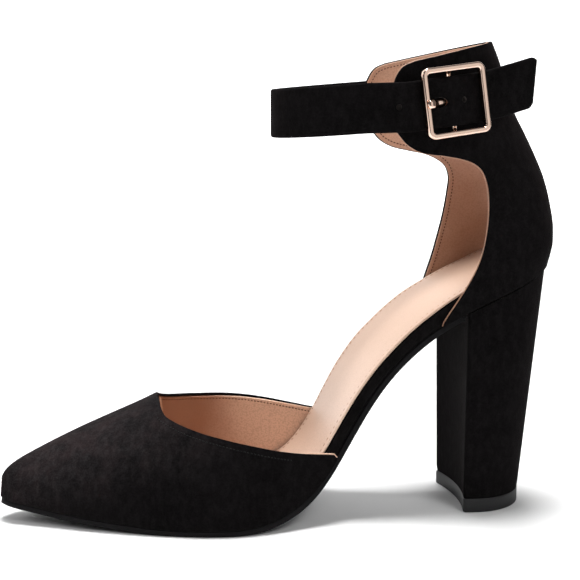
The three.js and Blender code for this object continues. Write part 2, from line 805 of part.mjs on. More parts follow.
// The buckle's own axes: along the strap towards the heel, up the strap, and outwards
const degree = Math.PI / 180;
const buckleAxes = (() => {
  const turn = buckleTurn * degree;
  const slope = buckleSlope * degree;
  const lean = buckleLean * degree;
  const onward = new THREE.Vector3(
    Math.cos(turn) * Math.cos(slope),
    Math.sin(turn) * Math.cos(slope),
    Math.sin(slope),
  );
  const level = new THREE.Vector3(Math.sin(turn), -Math.cos(turn), 0);
  const upright = new THREE.Vector3().crossVectors(level, onward).normalize();
  const outwards = level.clone().multiplyScalar(Math.cos(lean)).addScaledVector(upright, Math.sin(lean));
  const upwards = new THREE.Vector3().crossVectors(outwards, onward).normalize();
  return { onward, upwards, outwards };
})();

// Depths below the buckle's face, outermost first
const loopRadius = pinRadius + clearance + tabThickness;
const strapUnderBar = barDepth + 2.5 * clearance + strapThickness / 2;
const pinDepth = barDepth + 2;
const strapOverPin = pinDepth - loopRadius - clearance - strapThickness / 2;
const cuffDepth = pinDepth + loopRadius + clearance;
const buckleFace = (() => {
  const side = cuffHalf('lateral', buckleAlong, buckleHeight);
  const onCuff = new THREE.Vector3(buckleAlong, -side, buckleHeight);
  return onCuff.addScaledVector(buckleAxes.outwards, cuffDepth);
})();

function atBuckle(onward, upwards, depth) {
  return buckleFace.clone()
    .addScaledVector(buckleAxes.onward, onward)
    .addScaledVector(buckleAxes.upwards, upwards)
    .addScaledVector(buckleAxes.outwards, -depth);
}

// The strap's centre line, from its sewn end on the medial ear round the front to the free tail
function strapKnots() {
  const slope = Math.tan(buckleSlope * degree);
  const heightAt = (along) => strapFrontHeight + (along - strapFront) * slope * 0.62;
  const onEar = (along) => {
    const height = heightAt(along);
    const half = cuffHalf('medial', along, height) + clearance + strapThickness / 2;
    return { centre: new THREE.Vector3(along, half, height), lean: 2 };
  };
  const knots = [];
  const earFront = strapLoopCentre + 8;
  for (let k = 0; k <= 3; k += 1) knots.push(onEar(mix(strapMedialEnd, earFront, k / 3)));
  const turns = 14;
  for (let k = 0; k <= turns; k += 1) {
    const turn = mix(80, -80, k / turns) * degree;
    const along = strapLoopCentre - (strapLoopCentre - strapFront) * Math.cos(turn);
    const half = strapLoopHalfWidth + (turn < 0 ? 1.2 : 0.6);
    knots.push({ centre: new THREE.Vector3(along, half * Math.sin(turn), heightAt(along)), lean: 0 });
  }
  const bar = (buckleSize - barWidth) / 2;
  const throughBuckle = [
    [-bar - 5, strapUnderBar + 0.2], [-bar, strapUnderBar], [-bar / 2, mix(strapUnderBar, strapOverPin, 0.55)],
    [0, strapOverPin], [bar / 2, mix(strapUnderBar, strapOverPin, 0.55)], [bar, strapUnderBar],
    [bar + 6, strapUnderBar - 0.3], [bar + 12, strapUnderBar - 0.2],
    [strapTail, strapUnderBar + 1],
  ];
  for (const [onward, depth] of throughBuckle) {
    const lift = tailLift * smoothStep(bar - 1, strapTail + 6, onward);
    knots.push({ centre: atBuckle(onward, lift, depth), lean: buckleLean });
  }
  return knots;
}

function strapBody() {
  const knots = strapKnots();
  const path = new THREE.CatmullRomCurve3(knots.map((knot) => knot.centre), false, 'centripetal');
  const leans = new THREE.CatmullRomCurve3(knots.map((knot, i) => new THREE.Vector3(knot.lean, i, 0)));
  const steps = 66;
  const last = knots.length - 1;
  const middle = new THREE.Vector3(strapLoopCentre + 10, 0, 0);
  const rings = Array.from({ length: steps + 1 }, (unused, i) => {
    const share = i / steps;
    const centre = path.getPoint(share);
    const tangent = path.getTangent(share);
    const lean = leans.getPoint(share).x * degree;
    const level = new THREE.Vector3(centre.x - middle.x, centre.y, 0);
    const across = new THREE.Vector3(-tangent.y, tangent.x, 0).normalize();
    if (across.dot(level) < 0) across.negate();
    const upright = new THREE.Vector3().crossVectors(across, tangent).normalize();
    if (upright.z < 0) upright.negate();
    const outwards = across.clone().multiplyScalar(Math.cos(lean)).addScaledVector(upright, Math.sin(lean));
    const upwards = upright.clone().multiplyScalar(Math.cos(lean)).addScaledVector(across, -Math.sin(lean));
    const toEnd = (1 - share) * last;
    const slant = toEnd < 1 ? (1 - toEnd) * Math.tan(tailSlant * degree) : 0;
    const round = toEnd < 0.16 ? strapWidth * 0.06 * (1 - toEnd / 0.16) ** 2 : 0;
    const half = strapWidth / 2 - round;
    const thick = strapThickness / 2;
    const edge = thick * 0.45;
    const place = (up, out) => centre.clone()
      .addScaledVector(upwards, up)
      .addScaledVector(outwards, out)
      .addScaledVector(tangent, up * slant);
    return [
      place(-half, -thick + edge), place(-half, thick - edge), place(-half + edge, thick),
      place(half - edge, thick), place(half, thick - edge), place(half, -thick + edge),
      place(half - edge, -thick), place(-half + edge, -thick),
    ];
  });
  return loft(rings);
}

// The strap with the slot that the prong stands in
function makeStrap() {
  const slot = boxBetween(
    new THREE.Vector3(-railInner + 2.2, -prongSlotWidth / 2, -2 * barDepth),
    new THREE.Vector3(-2.2, prongSlotWidth / 2, barDepth),
  );
  return geometryFrom(solidOf(strapBody()).subtract(solidOf(placedAtBuckle(slot))));
}

// A solid drawn in the buckle's own axes, where z is the height over its face, put in its place
function placedAtBuckle(solid) {
  const { onward, upwards, outwards } = buckleAxes;
  const place = new THREE.Matrix4().makeBasis(onward, upwards, outwards).setPosition(buckleFace);
  return geometryFrom(solid).applyMatrix4(place);
}

function boxBetween(low, high) {
  const size = new THREE.Vector3().subVectors(high, low);
  const geometry = new THREE.BoxGeometry(size.x, size.y, size.z);
  geometry.translate((low.x + high.x) / 2, (low.y + high.y) / 2, (low.z + high.z) / 2);
  return solidOf(geometry);
}

// A round bar on the buckle's pin line
function aroundPin(radius, from, to) {
  const geometry = new THREE.CylinderGeometry(radius, radius, to - from, 20);
  geometry.translate(0, (from + to) / 2, -pinDepth);
  return solidOf(geometry);
}

function roundedSquare(size, radius) {
  const half = size / 2;
  const turns = 5;
  const corners = [[1, 1], [-1, 1], [-1, -1], [1, -1]];
  return corners.flatMap(([x, y], k) => Array.from({ length: turns + 1 }, (unused, i) => {
    const turn = (k + i / turns) * (Math.PI / 2);
    return new THREE.Vector2(
      x * (half - radius) + radius * Math.cos(turn),
      y * (half - radius) + radius * Math.sin(turn),
    );
  }));
}

const railInner = buckleSize / 2 - barWidth;

function makeBuckleFrame() {
  const outerRadius = 3;
  const innerRadius = 1.2;
  const shape = new THREE.Shape(roundedSquare(buckleSize, outerRadius));
  shape.holes.push(new THREE.Path(roundedSquare(2 * railInner, innerRadius).reverse()));
  const geometry = new THREE.ExtrudeGeometry(shape, {
    depth: barDepth - 2 * barBevel,
    bevelThickness: barBevel,
    bevelSize: barBevel,
    bevelOffset: -barBevel,
    bevelSegments: 1,
  });
  geometry.translate(0, 0, barBevel - barDepth);
  let frame = solidOf(geometry);
  const lugDepth = pinDepth + pinRadius + clearance / 2;
  for (const sign of [-1, 1]) {
    const edges = [sign * (railInner + 0.2), sign * (buckleSize / 2 - barBevel)].sort((a, b) => a - b);
    frame = frame.add(boxBetween(
      new THREE.Vector3(-lugWidth / 2, edges[0], -lugDepth),
      new THREE.Vector3(lugWidth / 2, edges[1], -barDepth / 2),
    ));
  }
  const pinHalf = buckleSize / 2 - 2 * barBevel;
  return placedAtBuckle(frame.add(aroundPin(pinRadius, -pinHalf, pinHalf)));
}

// The prong: an eye round the pin and a shank through the strap that rests over the toe-side bar
function makeBuckleProng() {
  const rest = clearance + 0.05;
  const tip = buckleSize / 2 - 0.1;
  const bend = railInner - clearance;
  const root = 3;
  const rootHeight = loopRadius - pinDepth + clearance - prongThickness;
  const side = [
    [-pinRadius, rootHeight - prongThickness], [-root, rootHeight - prongThickness / 2], [-bend, rest], [-tip, rest],
    [-tip + 0.2, rest + prongThickness], [-bend - 0.2, rest + prongThickness * 1.1],
    [-root, rootHeight + prongThickness / 2], [-pinRadius, rootHeight],
  ];
  const shape = new THREE.Shape(side.map(([along, height]) => new THREE.Vector2(along, height)));
  const geometry = new THREE.ExtrudeGeometry(shape, { depth: prongWidth, bevelEnabled: false });
  geometry.rotateX(Math.PI / 2);
  geometry.translate(0, prongWidth / 2, 0);
  const eye = aroundPin(loopRadius, -prongWidth / 2, prongWidth / 2);
  const hole = aroundPin(pinRadius + clearance, -prongWidth, prongWidth);
  return placedAtBuckle(solidOf(geometry).add(eye).subtract(hole));
}

// The tab that holds the buckle: a loop round the pin on each side of the prong, and a flat end
// that lies on the ear
function makeBuckleTab() {
  const steps = 5;
  const half = tabWidth / 2;
  const rings = Array.from({ length: steps + 1 }, (unused, k) => {
    const onward = (tabLength * k) / steps;
    const onEar = (upwards, over) => {
      const point = atBuckle(onward, upwards, cuffDepth);
      point.y = -cuffHalf('lateral', point.x, point.z);
      return point.addScaledVector(buckleAxes.outwards, over);
    };
    const across = [-half, -half / 2, 0, half / 2, half];
    const low = across.map((upwards) => onEar(upwards, clearance));
    const high = across.map((upwards) => onEar(upwards, clearance + tabThickness)).reverse();
    return [...low, ...high];
  });
  const { onward, upwards, outwards } = buckleAxes;
  const place = new THREE.Matrix4().makeBasis(onward, upwards, outwards).setPosition(buckleFace);
  const flat = solidOf(loft(rings).applyMatrix4(place.invert()));
  const slot = prongWidth / 2 + 2 * clearance;
  const loop = aroundPin(loopRadius, -half, half);
  const hole = aroundPin(pinRadius + clearance, -tabWidth, tabWidth);
  const gap = boxBetween(
    new THREE.Vector3(-2 * loopRadius, -slot, -2 * pinDepth),
    new THREE.Vector3(2 * loopRadius, slot, 0),
  );
  return placedAtBuckle(flat.add(loop).subtract(hole).subtract(gap));
}

const group = new THREE.Group();

function addPiece(parent, name, geometry, colour, roughness, metalness) {
  const material = new THREE.MeshStandardMaterial({ color: colour, roughness, metalness });
  const mesh = new THREE.Mesh(bare(geometry), material);
  mesh.name = name;
  parent.add(mesh);
}

const suede = 0x17151a;
const roseGold = 0xd9a48c;
addPiece(group, 'outsole', makeOutsole(), 0x2a2829, 0.7, 0);
addPiece(group, 'footbed', makeFootbed(), suede, 0.95, 0);
addPiece(group, 'sock', makeSock(), 0xe3b795, 0.6, 0);
addPiece(group, 'vamp', makeVamp(), suede, 0.95, 0);
addPiece(group, 'quarter', makeQuarter(), suede, 0.95, 0);
addPiece(group, 'heel', makeHeel(), suede, 0.95, 0);
addPiece(group, 'top_lift', makeTopLift(), 0x3a3838, 0.6, 0);
addPiece(group, 'ankle_strap', makeStrap(), suede, 0.95, 0);
addPiece(group, 'buckle_frame', makeBuckleFrame(), roseGold, 0.25, 1);
addPiece(group, 'buckle_prong', makeBuckleProng(), roseGold, 0.25, 1);
addPiece(group, 'buckle_tab', makeBuckleTab(), suede, 0.95, 0);

// The origin lies on the floor, under the middle of the whole
const bounds = new THREE.Box3().setFromObject(group);
const middle = bounds.getCenter(new THREE.Vector3());
group.position.set(-middle.x, -middle.y, -bounds.min.z);
export default group;
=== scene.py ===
"""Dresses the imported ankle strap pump: suede upper, leather lining, sock, heel, strap and buckle.

Sizes are millimetres in the shoe's own frame, where x runs from the toe's tip to the heel, the
lateral side lies at -y and the floor at z = 0. They turn into metres when a mesh is made.
"""

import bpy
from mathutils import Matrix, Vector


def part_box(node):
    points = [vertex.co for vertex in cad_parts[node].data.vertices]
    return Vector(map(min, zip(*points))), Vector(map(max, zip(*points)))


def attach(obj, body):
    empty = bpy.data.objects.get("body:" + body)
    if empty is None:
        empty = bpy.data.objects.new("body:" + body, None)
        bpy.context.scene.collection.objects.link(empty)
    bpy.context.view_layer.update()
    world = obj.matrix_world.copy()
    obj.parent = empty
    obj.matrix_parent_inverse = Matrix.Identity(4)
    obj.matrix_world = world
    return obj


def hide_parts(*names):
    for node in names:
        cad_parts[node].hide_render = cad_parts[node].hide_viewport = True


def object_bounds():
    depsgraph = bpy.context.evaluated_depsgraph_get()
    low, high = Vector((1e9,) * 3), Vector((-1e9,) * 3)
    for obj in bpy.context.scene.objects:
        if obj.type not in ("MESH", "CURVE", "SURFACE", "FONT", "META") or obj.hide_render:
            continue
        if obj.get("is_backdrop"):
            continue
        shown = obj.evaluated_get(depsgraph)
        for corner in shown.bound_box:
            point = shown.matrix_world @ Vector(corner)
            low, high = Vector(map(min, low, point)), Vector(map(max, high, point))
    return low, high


bl_info = {
    "name": "Ankle strap pump",
    "version": (1, 0, 0),
    "blender": (4, 5, 0),
    "location": "3D View > Sidebar > Pump",
    "description": "Builds the visible pieces of a left ankle strap pump over its packed model",
    "category": "Object",
}

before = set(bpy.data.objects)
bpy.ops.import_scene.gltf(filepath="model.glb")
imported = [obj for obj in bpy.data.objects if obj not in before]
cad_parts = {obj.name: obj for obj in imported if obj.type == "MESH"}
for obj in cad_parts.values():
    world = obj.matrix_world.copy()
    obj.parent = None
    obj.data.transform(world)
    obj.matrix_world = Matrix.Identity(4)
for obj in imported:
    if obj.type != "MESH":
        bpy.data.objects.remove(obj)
CAD_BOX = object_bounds()

import math

import bmesh
import bpy
import numpy as np
from mathutils import Vector

MM = 0.001
SIDES = {"lateral": -1, "medial": 1}

# Whole shoe
LENGTH = 223
BALL_WIDTH = 75
WAIST_WIDTH = 49
SEAT_WIDTH = 53
TOE_RADIUS = 8
TOE_SPRING = 7
SEAT_RISE = 98
CLEARANCE = 0.3
SOLE_EASE = 6

# Bottom
OUTSOLE_THICKNESS = 2.6
OUTSOLE_INSET = 0.6
FOOTBED_THICKNESS = 4.4
ARCH_RISE = 2.6
SEAT_PAD = 3.4
FOOTBED_ROUND = 1.2
SOCK_THICKNESS = 1.0
SOCK_MARGIN = 0.5
SOCK_STITCH_PITCH = 2.6
SOCK_STITCH_LENGTH = 1.3
SOCK_STITCH_INSET = 2.6
UPPER_BASE = OUTSOLE_THICKNESS + CLEARANCE

# Vamp
VAMP_WALL = 1.8
THROAT_ALONG = 62.7
THROAT_HEIGHT = 44
CREST_SHIFT = 4
WING_END = {"lateral": 133.5, "medial": 138.5}
SECTION_POWER = 2.4
UPRIGHT_OVER = 12
VAMP_FRAME_REACH = 6

# Quarter with its ankle cuff
QUARTER_WALL = 2.2
SEAT_END = 221.2
SEAT_ARC = 23.5
CUFF_HEIGHT = 187.3
CUFF_BACK = 197
CUFF_SLOPE = 0.225
CUFF_OVAL_REACH = 59

# Heel and top lift
BREAST_ALONG = 184
BREAST_HOLLOW = 2.8
LIFT_THICKNESS = 5.6
LIFT_WIDTH = 44.4
LIFT_DEPTH = 28.5
LIFT_ARC = 21
LIFT_ALONG = 183.2

# Ankle strap
STRAP_WIDTH = 18.8
STRAP_THICKNESS = 2.2
STRAP_FRONT = 110
STRAP_FRONT_HEIGHT = 159
STRAP_LOOP_CENTRE = 146
STRAP_LOOP_HALF_WIDTH = 27.6
STRAP_MEDIAL_END = 174
STRAP_END_LEAN = math.radians(2)
STRAP_SLOPE_SHARE = 0.62
STRAP_BULGE = {"lateral": 1.2, "medial": 0.6}
STRAP_TAIL = 37
TAIL_SLANT = math.radians(21)
TAIL_LIFT = 3
TAIL_ROUND_SHARE = 0.16
HOLE_PLACES = (-21.4, 3.2)
HOLE_DEPTH = 0.45

# Buckle
BUCKLE_SIZE = 26.6
BUCKLE_ALONG = 173.2
BUCKLE_HEIGHT = 163.9
BUCKLE_TURN = math.radians(13)
BUCKLE_LEAN = math.radians(3)
BUCKLE_SLOPE = math.radians(7)
BAR_WIDTH = 2.1
BAR_DEPTH = 3
BAR_BEVEL = 0.5
FRAME_OUTER_ROUND = 3.0
FRAME_INNER_ROUND = 1.2
PIN_RADIUS = 0.9
LUG_WIDTH = 4.4
TAB_THICKNESS = 0.9
PRONG_WIDTH = 2.6
PRONG_THICKNESS = 1.1
PRONG_SLOT_MIDDLE = -6.0
PRONG_SLOT_HALF_LENGTH = 3.1
RAIL_INNER = BUCKLE_SIZE / 2 - BAR_WIDTH

# How the walls are made up: the lining lies inside the suede, with a hair's breadth between them
LINING_WALL = 0.75
LINING_GAP = 0.04
LINING_EDGE_ROUND = 0.3
THREAD_LIFT = 0.02
LINING_THREAD = 0.24
SUEDE_THREAD = 0.26
SOCK_THREAD = 0.22
EDGE_ROUND = 0.45
EDGE_ROW = 1.3
WING_TURN = 0.012

# How far the lining's edge stays back from the suede's: below 0 it stands over it and shows
VAMP_LINING_BACK = {"lateral": 0.1, "medial": 0.9}
WING_LINING_RISE = {"lateral": 0.75, "medial": 0.5}
QUARTER_LINING_BACK = {"lateral": -0.3, "medial": 0.22}

# The photograph's camera
FRAME_PIXELS = 580
FOCAL_PIXELS = 1365
SENSOR_WIDTH = 36
CAMERA_AXIS_ALONG = 116.36
CAMERA_DISTANCE = 540
CAMERA_HEIGHT = 170
CAMERA_TURN = math.radians(9)
CAMERA_PITCH = math.radians(8.54)


def table(names, *rows):
    """A short table of numbers with named columns."""
    return dict(zip(names.split(), np.array(rows, float).T))


SOLE = table(
    "along spring rise",
    (0, 1.0, 0), (0.0444, 0.77, 0), (0.1009, 0.49, 0), (0.1564, 0.31, 0), (0.224, 0.13, 0),
    (0.2956, 0, 0), (0.4127, 0, 0), (0.4661, 0, 0.018), (0.5156, 0, 0.062), (0.561, 0, 0.138),
    (0.5963, 0, 0.245), (0.6326, 0, 0.388), (0.673, 0, 0.526), (0.7174, 0, 0.638),
    (0.7668, 0, 0.73), (0.8253, 0, 0.806), (0.9101, 0, 0.898), (1.009, 0, 1.0),
)

# Half widths of the outer outline, as shares of the width in the last column
OUTLINE = table(
    "along lateral medial of",
    (0, 0.08, 0.08, BALL_WIDTH), (0.0444, 0.128, 0.136, BALL_WIDTH),
    (0.0898, 0.192, 0.207, BALL_WIDTH), (0.1574, 0.292, 0.3, BALL_WIDTH),
    (0.224, 0.376, 0.379, BALL_WIDTH), (0.2916, 0.448, 0.44, BALL_WIDTH),
    (0.3592, 0.496, 0.475, BALL_WIDTH), (0.4036, 0.507, 0.475, BALL_WIDTH),
    (0.4571, 0.488, 0.447, BALL_WIDTH), (0.5156, 0.437, 0.396, BALL_WIDTH),
    (0.565, 0.588, 0.539, WAIST_WIDTH), (0.6276, 0.518, 0.49, WAIST_WIDTH),
    (0.6952, 0.496, 0.508, WAIST_WIDTH), (0.7628, 0.464, 0.464, SEAT_WIDTH),
    (0.8294, 0.485, 0.485, SEAT_WIDTH), (0.8879, 0.498, 0.498, SEAT_WIDTH),
    (1.009, 0.5, 0.5, SEAT_WIDTH),
)

# Height of the vamp's crest over its base, as a share of the throat's height
CREST = table(
    "along height",
    (0, 0.17), (0.005, 0.225), (0.022, 0.315), (0.051, 0.42), (0.09, 0.54), (0.135, 0.66),
    (0.184, 0.778), (0.233, 0.89), (0.281, 1.0), (0.314, 1.07), (0.36, 1.18), (0.426, 1.34),
    (0.493, 1.48), (0.583, 1.62), (0.673, 1.7),
)

# The vamp's topline from the side: back runs from the throat to each wing's tip
TOPLINE = table(
    "back lateral medial",
    (0, 1.12, 1.12), (0.007, 1.042, 1.062), (0.0275, 0.985, 1.015), (0.06, 0.958, 0.992),
    (0.106, 0.93, 0.975), (0.221, 0.877, 0.955), (0.337, 0.834, 0.942), (0.496, 0.773, 0.92),
    (0.656, 0.705, 0.882), (0.786, 0.659, 0.838), (0.9, 0.634, 0.8), (1.0, 0.622, 0.81),
)

# The quarter from the seat up: back is a share of the length, width and depth are scales of the
# seat's own outline, which turns oval towards the cuff
QUARTER = table(
    "level back width depth oval",
    (-0.1, 0.9879, 0.98, 1.0, 0), (0, 0.9919, 1.0, 1.0, 0), (0.045, 0.9965, 1.03, 1.0, 0),
    (0.09, 1.0, 1.055, 1.0, 0), (0.15, 0.9995, 1.08, 1.0, 0.03), (0.25, 0.9937, 1.1, 0.99, 0.15),
    (0.37, 0.9825, 1.1, 0.97, 0.38), (0.48, 0.9664, 1.09, 0.93, 0.65),
    (0.58, 0.9488, 1.075, 0.88, 0.85), (0.7, 0.926, 1.06, 0.83, 1.0), (0.8, 0.9115, 1.05, 0.8, 1.0),
    (0.905, 0.8993, 1.04, 0.78, 1.0), (1.0, 0.8835, 1.02, 0.76, 1.0), (1.08, 0.8698, 1.01, 0.75, 1.0),
)

# The quarter's front edge, from the wing's tip up round the ankle opening and the ear
QUARTER_EDGE = table(
    "level lateral medial",
    (0, 0.7719, 0.7648), (0.03, 0.7850, 0.7769), (0.065, 0.8001, 0.7900), (0.115, 0.8193, 0.8010),
    (0.175, 0.8354, 0.8133), (0.24, 0.8445, 0.8234), (0.33, 0.8511, 0.8345), (0.42, 0.8526, 0.8410),
    (0.475, 0.8501, 0.8420), (0.525, 0.8425, 0.8344), (0.565, 0.8274, 0.8183),
    (0.6, 0.8041, 0.7971), (0.637, 0.7719, 0.7668), (0.665, 0.7315, 0.7335), (0.70, 0.7063, 0.7103),
    (0.74, 0.6911, 0.6962), (0.78, 0.6800, 0.6841), (0.85, 0.6750, 0.6780), (0.91, 0.6770, 0.6790),
    (0.96, 0.6841, 0.6871), (0.99, 0.6962, 0.6992), (1.0, 0.7164, 0.7184),
)

# The frame's origin in the shoe's own frame, found from the top lift, whose breast edge is known
LIFT_LOW, LIFT_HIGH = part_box("top_lift")
ORIGIN = np.array([LIFT_ALONG - LIFT_LOW.x / MM, -(LIFT_LOW.y + LIFT_HIGH.y) / 2 / MM, 0.0])


def unit(vectors):
    """Vectors of length 1 in the same directions."""
    return vectors / np.maximum(np.linalg.norm(vectors, axis=-1, keepdims=True), 1e-12)


def smooth_step(start, end, at):
    """Smoothly from 0 at start to 1 at end."""
    t = np.clip((np.asarray(at, float) - start) / (end - start), 0, 1)
    return t * t * (3 - 2 * t)


def mix(a, b, share):
    return a + (b - a) * share


def smooth_curve(xs, ys):
    """A smooth curve through points that never overshoots them, straight beyond its ends."""
    x, y = np.asarray(xs, float), np.asarray(ys, float)
    step = np.diff(x)
    secant = np.diff(y) / step
    slope = np.zeros_like(x)
    slope[0], slope[-1] = secant[0], secant[-1]
    before, after = secant[:-1], secant[1:]
    weight_before = 2 * step[1:] + step[:-1]
    weight_after = step[1:] + 2 * step[:-1]
    turning = before * after > 0
    mean = (weight_before + weight_after) / (
        weight_before / np.where(turning, before, 1) + weight_after / np.where(turning, after, 1)
    )
    slope[1:-1] = np.where(turning, mean, 0)

    def curve(at):
        at = np.asarray(at, float)
        i = np.clip(np.searchsorted(x, at, side="right") - 1, 0, len(x) - 2)
        t = (at - x[i]) / step[i]
        rest = 1 - t
        ends = y[i] * (1 + 2 * t) * rest**2 + y[i + 1] * t**2 * (3 - 2 * t)
        inside = ends + (slope[i] * t * rest**2 - slope[i + 1] * t**2 * rest) * step[i]
        below = y[0] + slope[0] * (at - x[0])
        above = y[-1] + slope[-1] * (at - x[-1])
        return np.where(at <= x[0], below, np.where(at >= x[-1], above, inside))

    return curve


def through(knots, per_segment):
    """Points of a centripetal curve through knots, a given number for each stretch."""
    knots = np.asarray(knots, float)
    ends = 2 * knots[[0, -1]] - knots[[1, -2]]
    knots = np.vstack([ends[:1], knots, ends[1:]])
    gap = np.maximum(np.linalg.norm(np.diff(knots, axis=0), axis=1), 1e-6) ** 0.5
    t = np.linspace(0, 1, per_segment, endpoint=False)[:, None]
    points = []
    for i in range(1, len(knots) - 2):
        p0, p1, p2, p3 = knots[i - 1:i + 3]
        g0, g1, g2 = gap[i - 1:i + 2]
        leave = ((p1 - p0) / g0 - (p2 - p0) / (g0 + g1) + (p2 - p1) / g1) * g1
        arrive = ((p2 - p1) / g1 - (p3 - p1) / (g1 + g2) + (p3 - p2) / g2) * g1
        bend = -3 * p1 + 3 * p2 - 2 * leave - arrive
        twist = 2 * p1 - 2 * p2 + leave + arrive
        points.append(p1 + leave * t + bend * t**2 + twist * t**3)
    return np.vstack([*points, knots[-2:-1]])


def arc_length(points):
    """Length along a line up to each of its points."""
    return np.concatenate([[0], np.cumsum(np.linalg.norm(np.diff(points, axis=0), axis=1))])


def by_arc(points, count, *values):
    """Points, and values that go with them, respaced evenly along their line."""
    arc = arc_length(points)
    at = np.linspace(0, arc[-1], count)
    spaced = np.stack([np.interp(at, arc, column) for column in points.T], -1)
    return (spaced, *(np.interp(at, arc, value) for value in values)) if values else spaced


sole_curve = smooth_curve(SOLE["along"] * LENGTH, SOLE["spring"] * TOE_SPRING + SOLE["rise"] * SEAT_RISE)
outline_curve = {
    side: smooth_curve(OUTLINE["along"] * LENGTH, OUTLINE[side] * OUTLINE["of"]) for side in SIDES
}
crest_height = smooth_curve(CREST["along"] * LENGTH, CREST["height"] * THROAT_HEIGHT)
quarter_back = smooth_curve(QUARTER["level"], QUARTER["back"] * LENGTH)
quarter_width = smooth_curve(QUARTER["level"], QUARTER["width"])
quarter_depth = smooth_curve(QUARTER["level"], QUARTER["depth"])
quarter_oval = smooth_curve(QUARTER["level"], QUARTER["oval"])
QUARTER_ROOT = QUARTER_EDGE["medial"][0] * LENGTH


def sole_height(at):
    """Height of the sole's profile, softened by a mean over a short reach."""
    at = np.asarray(at, float)
    return np.mean([sole_curve(at + share * SOLE_EASE) for share in np.linspace(-1, 1, 9)], axis=0)


def outer_half(side, along):
    """Half width of the outer outline, rounded off at the toe and at the back of the seat."""
    along = np.asarray(along, float)
    toe = np.clip(1 - along / TOE_RADIUS, 0, 1)
    back = np.clip((along - SEAT_END + SEAT_ARC) / SEAT_ARC, 0, 1)
    return outline_curve[side](along) * np.sqrt(1 - toe**2) * (1 - back**2.2) ** (1 / 2.2)


def slant_at(along, reach=0.05):
    """Angle of the sole's profile to the floor."""
    return np.arctan((sole_height(along + reach) - sole_height(along - reach)) / (2 * reach))


def over_sole(along, sideways, level, reach=0.05):
    """A point over the sole's profile, at a level along its normal."""
    along, sideways, level = np.broadcast_arrays(
        np.asarray(along, float), np.asarray(sideways, float), np.asarray(level, float)
    )
    slant = slant_at(along, reach)
    height = sole_height(along) + level * np.cos(slant)
    return np.stack([along - level * np.sin(slant), sideways, height], -1)


def inset_edge(side, along, inset):
    """The outline moved inwards along its own normal: its place along and half width."""
    reach = 0.02
    low = np.maximum(0, along - reach)
    high = np.minimum(SEAT_END, along + reach)
    rise = (outer_half(side, high) - outer_half(side, low)) / (high - low)
    stretch = np.hypot(1, rise)
    return along + inset * rise / stretch, np.maximum(0, outer_half(side, along) - inset / stretch)


def quarter_low(along):
    """Height of the upper's base line at a place along the shoe."""
    place = np.maximum(np.asarray(along, float), QUARTER_ROOT)
    station = place
    for _ in range(5):
        station = station + place - over_sole(station, 0, UPPER_BASE)[..., 0]
    return over_sole(station, 0, UPPER_BASE)[..., 2]


def quarter_high(along):
    """Height of the cuff's sloping top edge."""
    return CUFF_HEIGHT + (along - CUFF_BACK) * CUFF_SLOPE


def quarter_half(side, station, level):
    """Half width of the quarter's outer face, at a station round the seat and a level."""
    reach = np.minimum(1, np.abs(SEAT_END - CUFF_OVAL_REACH - station) / CUFF_OVAL_REACH)
    oval = SEAT_WIDTH / 2 * np.sqrt(1 - reach**2)
    return mix(outer_half(side, station), oval, quarter_oval(level)) * quarter_width(level)


def quarter_point(side, station, level):
    """A point of the quarter's outer face."""
    along = quarter_back(level) - (SEAT_END - station) * quarter_depth(level)
    height = mix(quarter_low(along), quarter_high(along), level)
    return np.stack([along, SIDES[side] * quarter_half(side, station, level), height], -1)


def cuff_half(side, along, height):
    """Half width of the quarter's outer face at a place on the cuff."""
    low = quarter_low(along)
    level = (height - low) / (quarter_high(along) - low)
    station = SEAT_END - (quarter_back(level) - along) / quarter_depth(level)
    return quarter_half(side, station, level)


def vamp_point(side, along, turn):
    """A point of the vamp's outer face: station and turn up the section's arc."""
    out = np.maximum(0, np.cos(turn)) ** (2 / SECTION_POWER)
    up = np.sin(turn) ** (2 / SECTION_POWER)
    shift = CREST_SHIFT * np.minimum(along / THROAT_ALONG, 1) * np.sin(turn) ** 2
    level = UPPER_BASE + crest_height(along) * up
    slanted = UPRIGHT_OVER * (1 - np.exp(-level / UPRIGHT_OVER))
    sideways = SIDES[side] * outer_half(side, along) * out + shift
    point = over_sole(along, sideways, slanted, VAMP_FRAME_REACH)
    point[..., 2] += level - slanted
    return point


def vamp_station(x, z):
    """The station and the turn of the vamp's point that is seen at a place from the side."""
    along = np.array(x, float)
    level = np.full_like(along, UPPER_BASE)
    for _ in range(40):
        slant = slant_at(along, VAMP_FRAME_REACH)
        slanted = UPRIGHT_OVER * (1 - np.exp(-np.maximum(level, 0) / UPRIGHT_OVER))
        level = z - sole_height(along) + slanted * (1 - np.cos(slant))
        along = mix(along, x + slanted * np.sin(slant), 0.5)
    up = (level - UPPER_BASE) / crest_height(along)
    return along, np.arcsin(np.clip(up, 0, 1) ** (SECTION_POWER / 2)), up


def inwards(line, distance):
    """A side-view line moved to its right by a distance."""
    way = unit(np.gradient(line, axis=0))
    return line + distance * np.stack([way[:, 1], -way[:, 0]], -1)


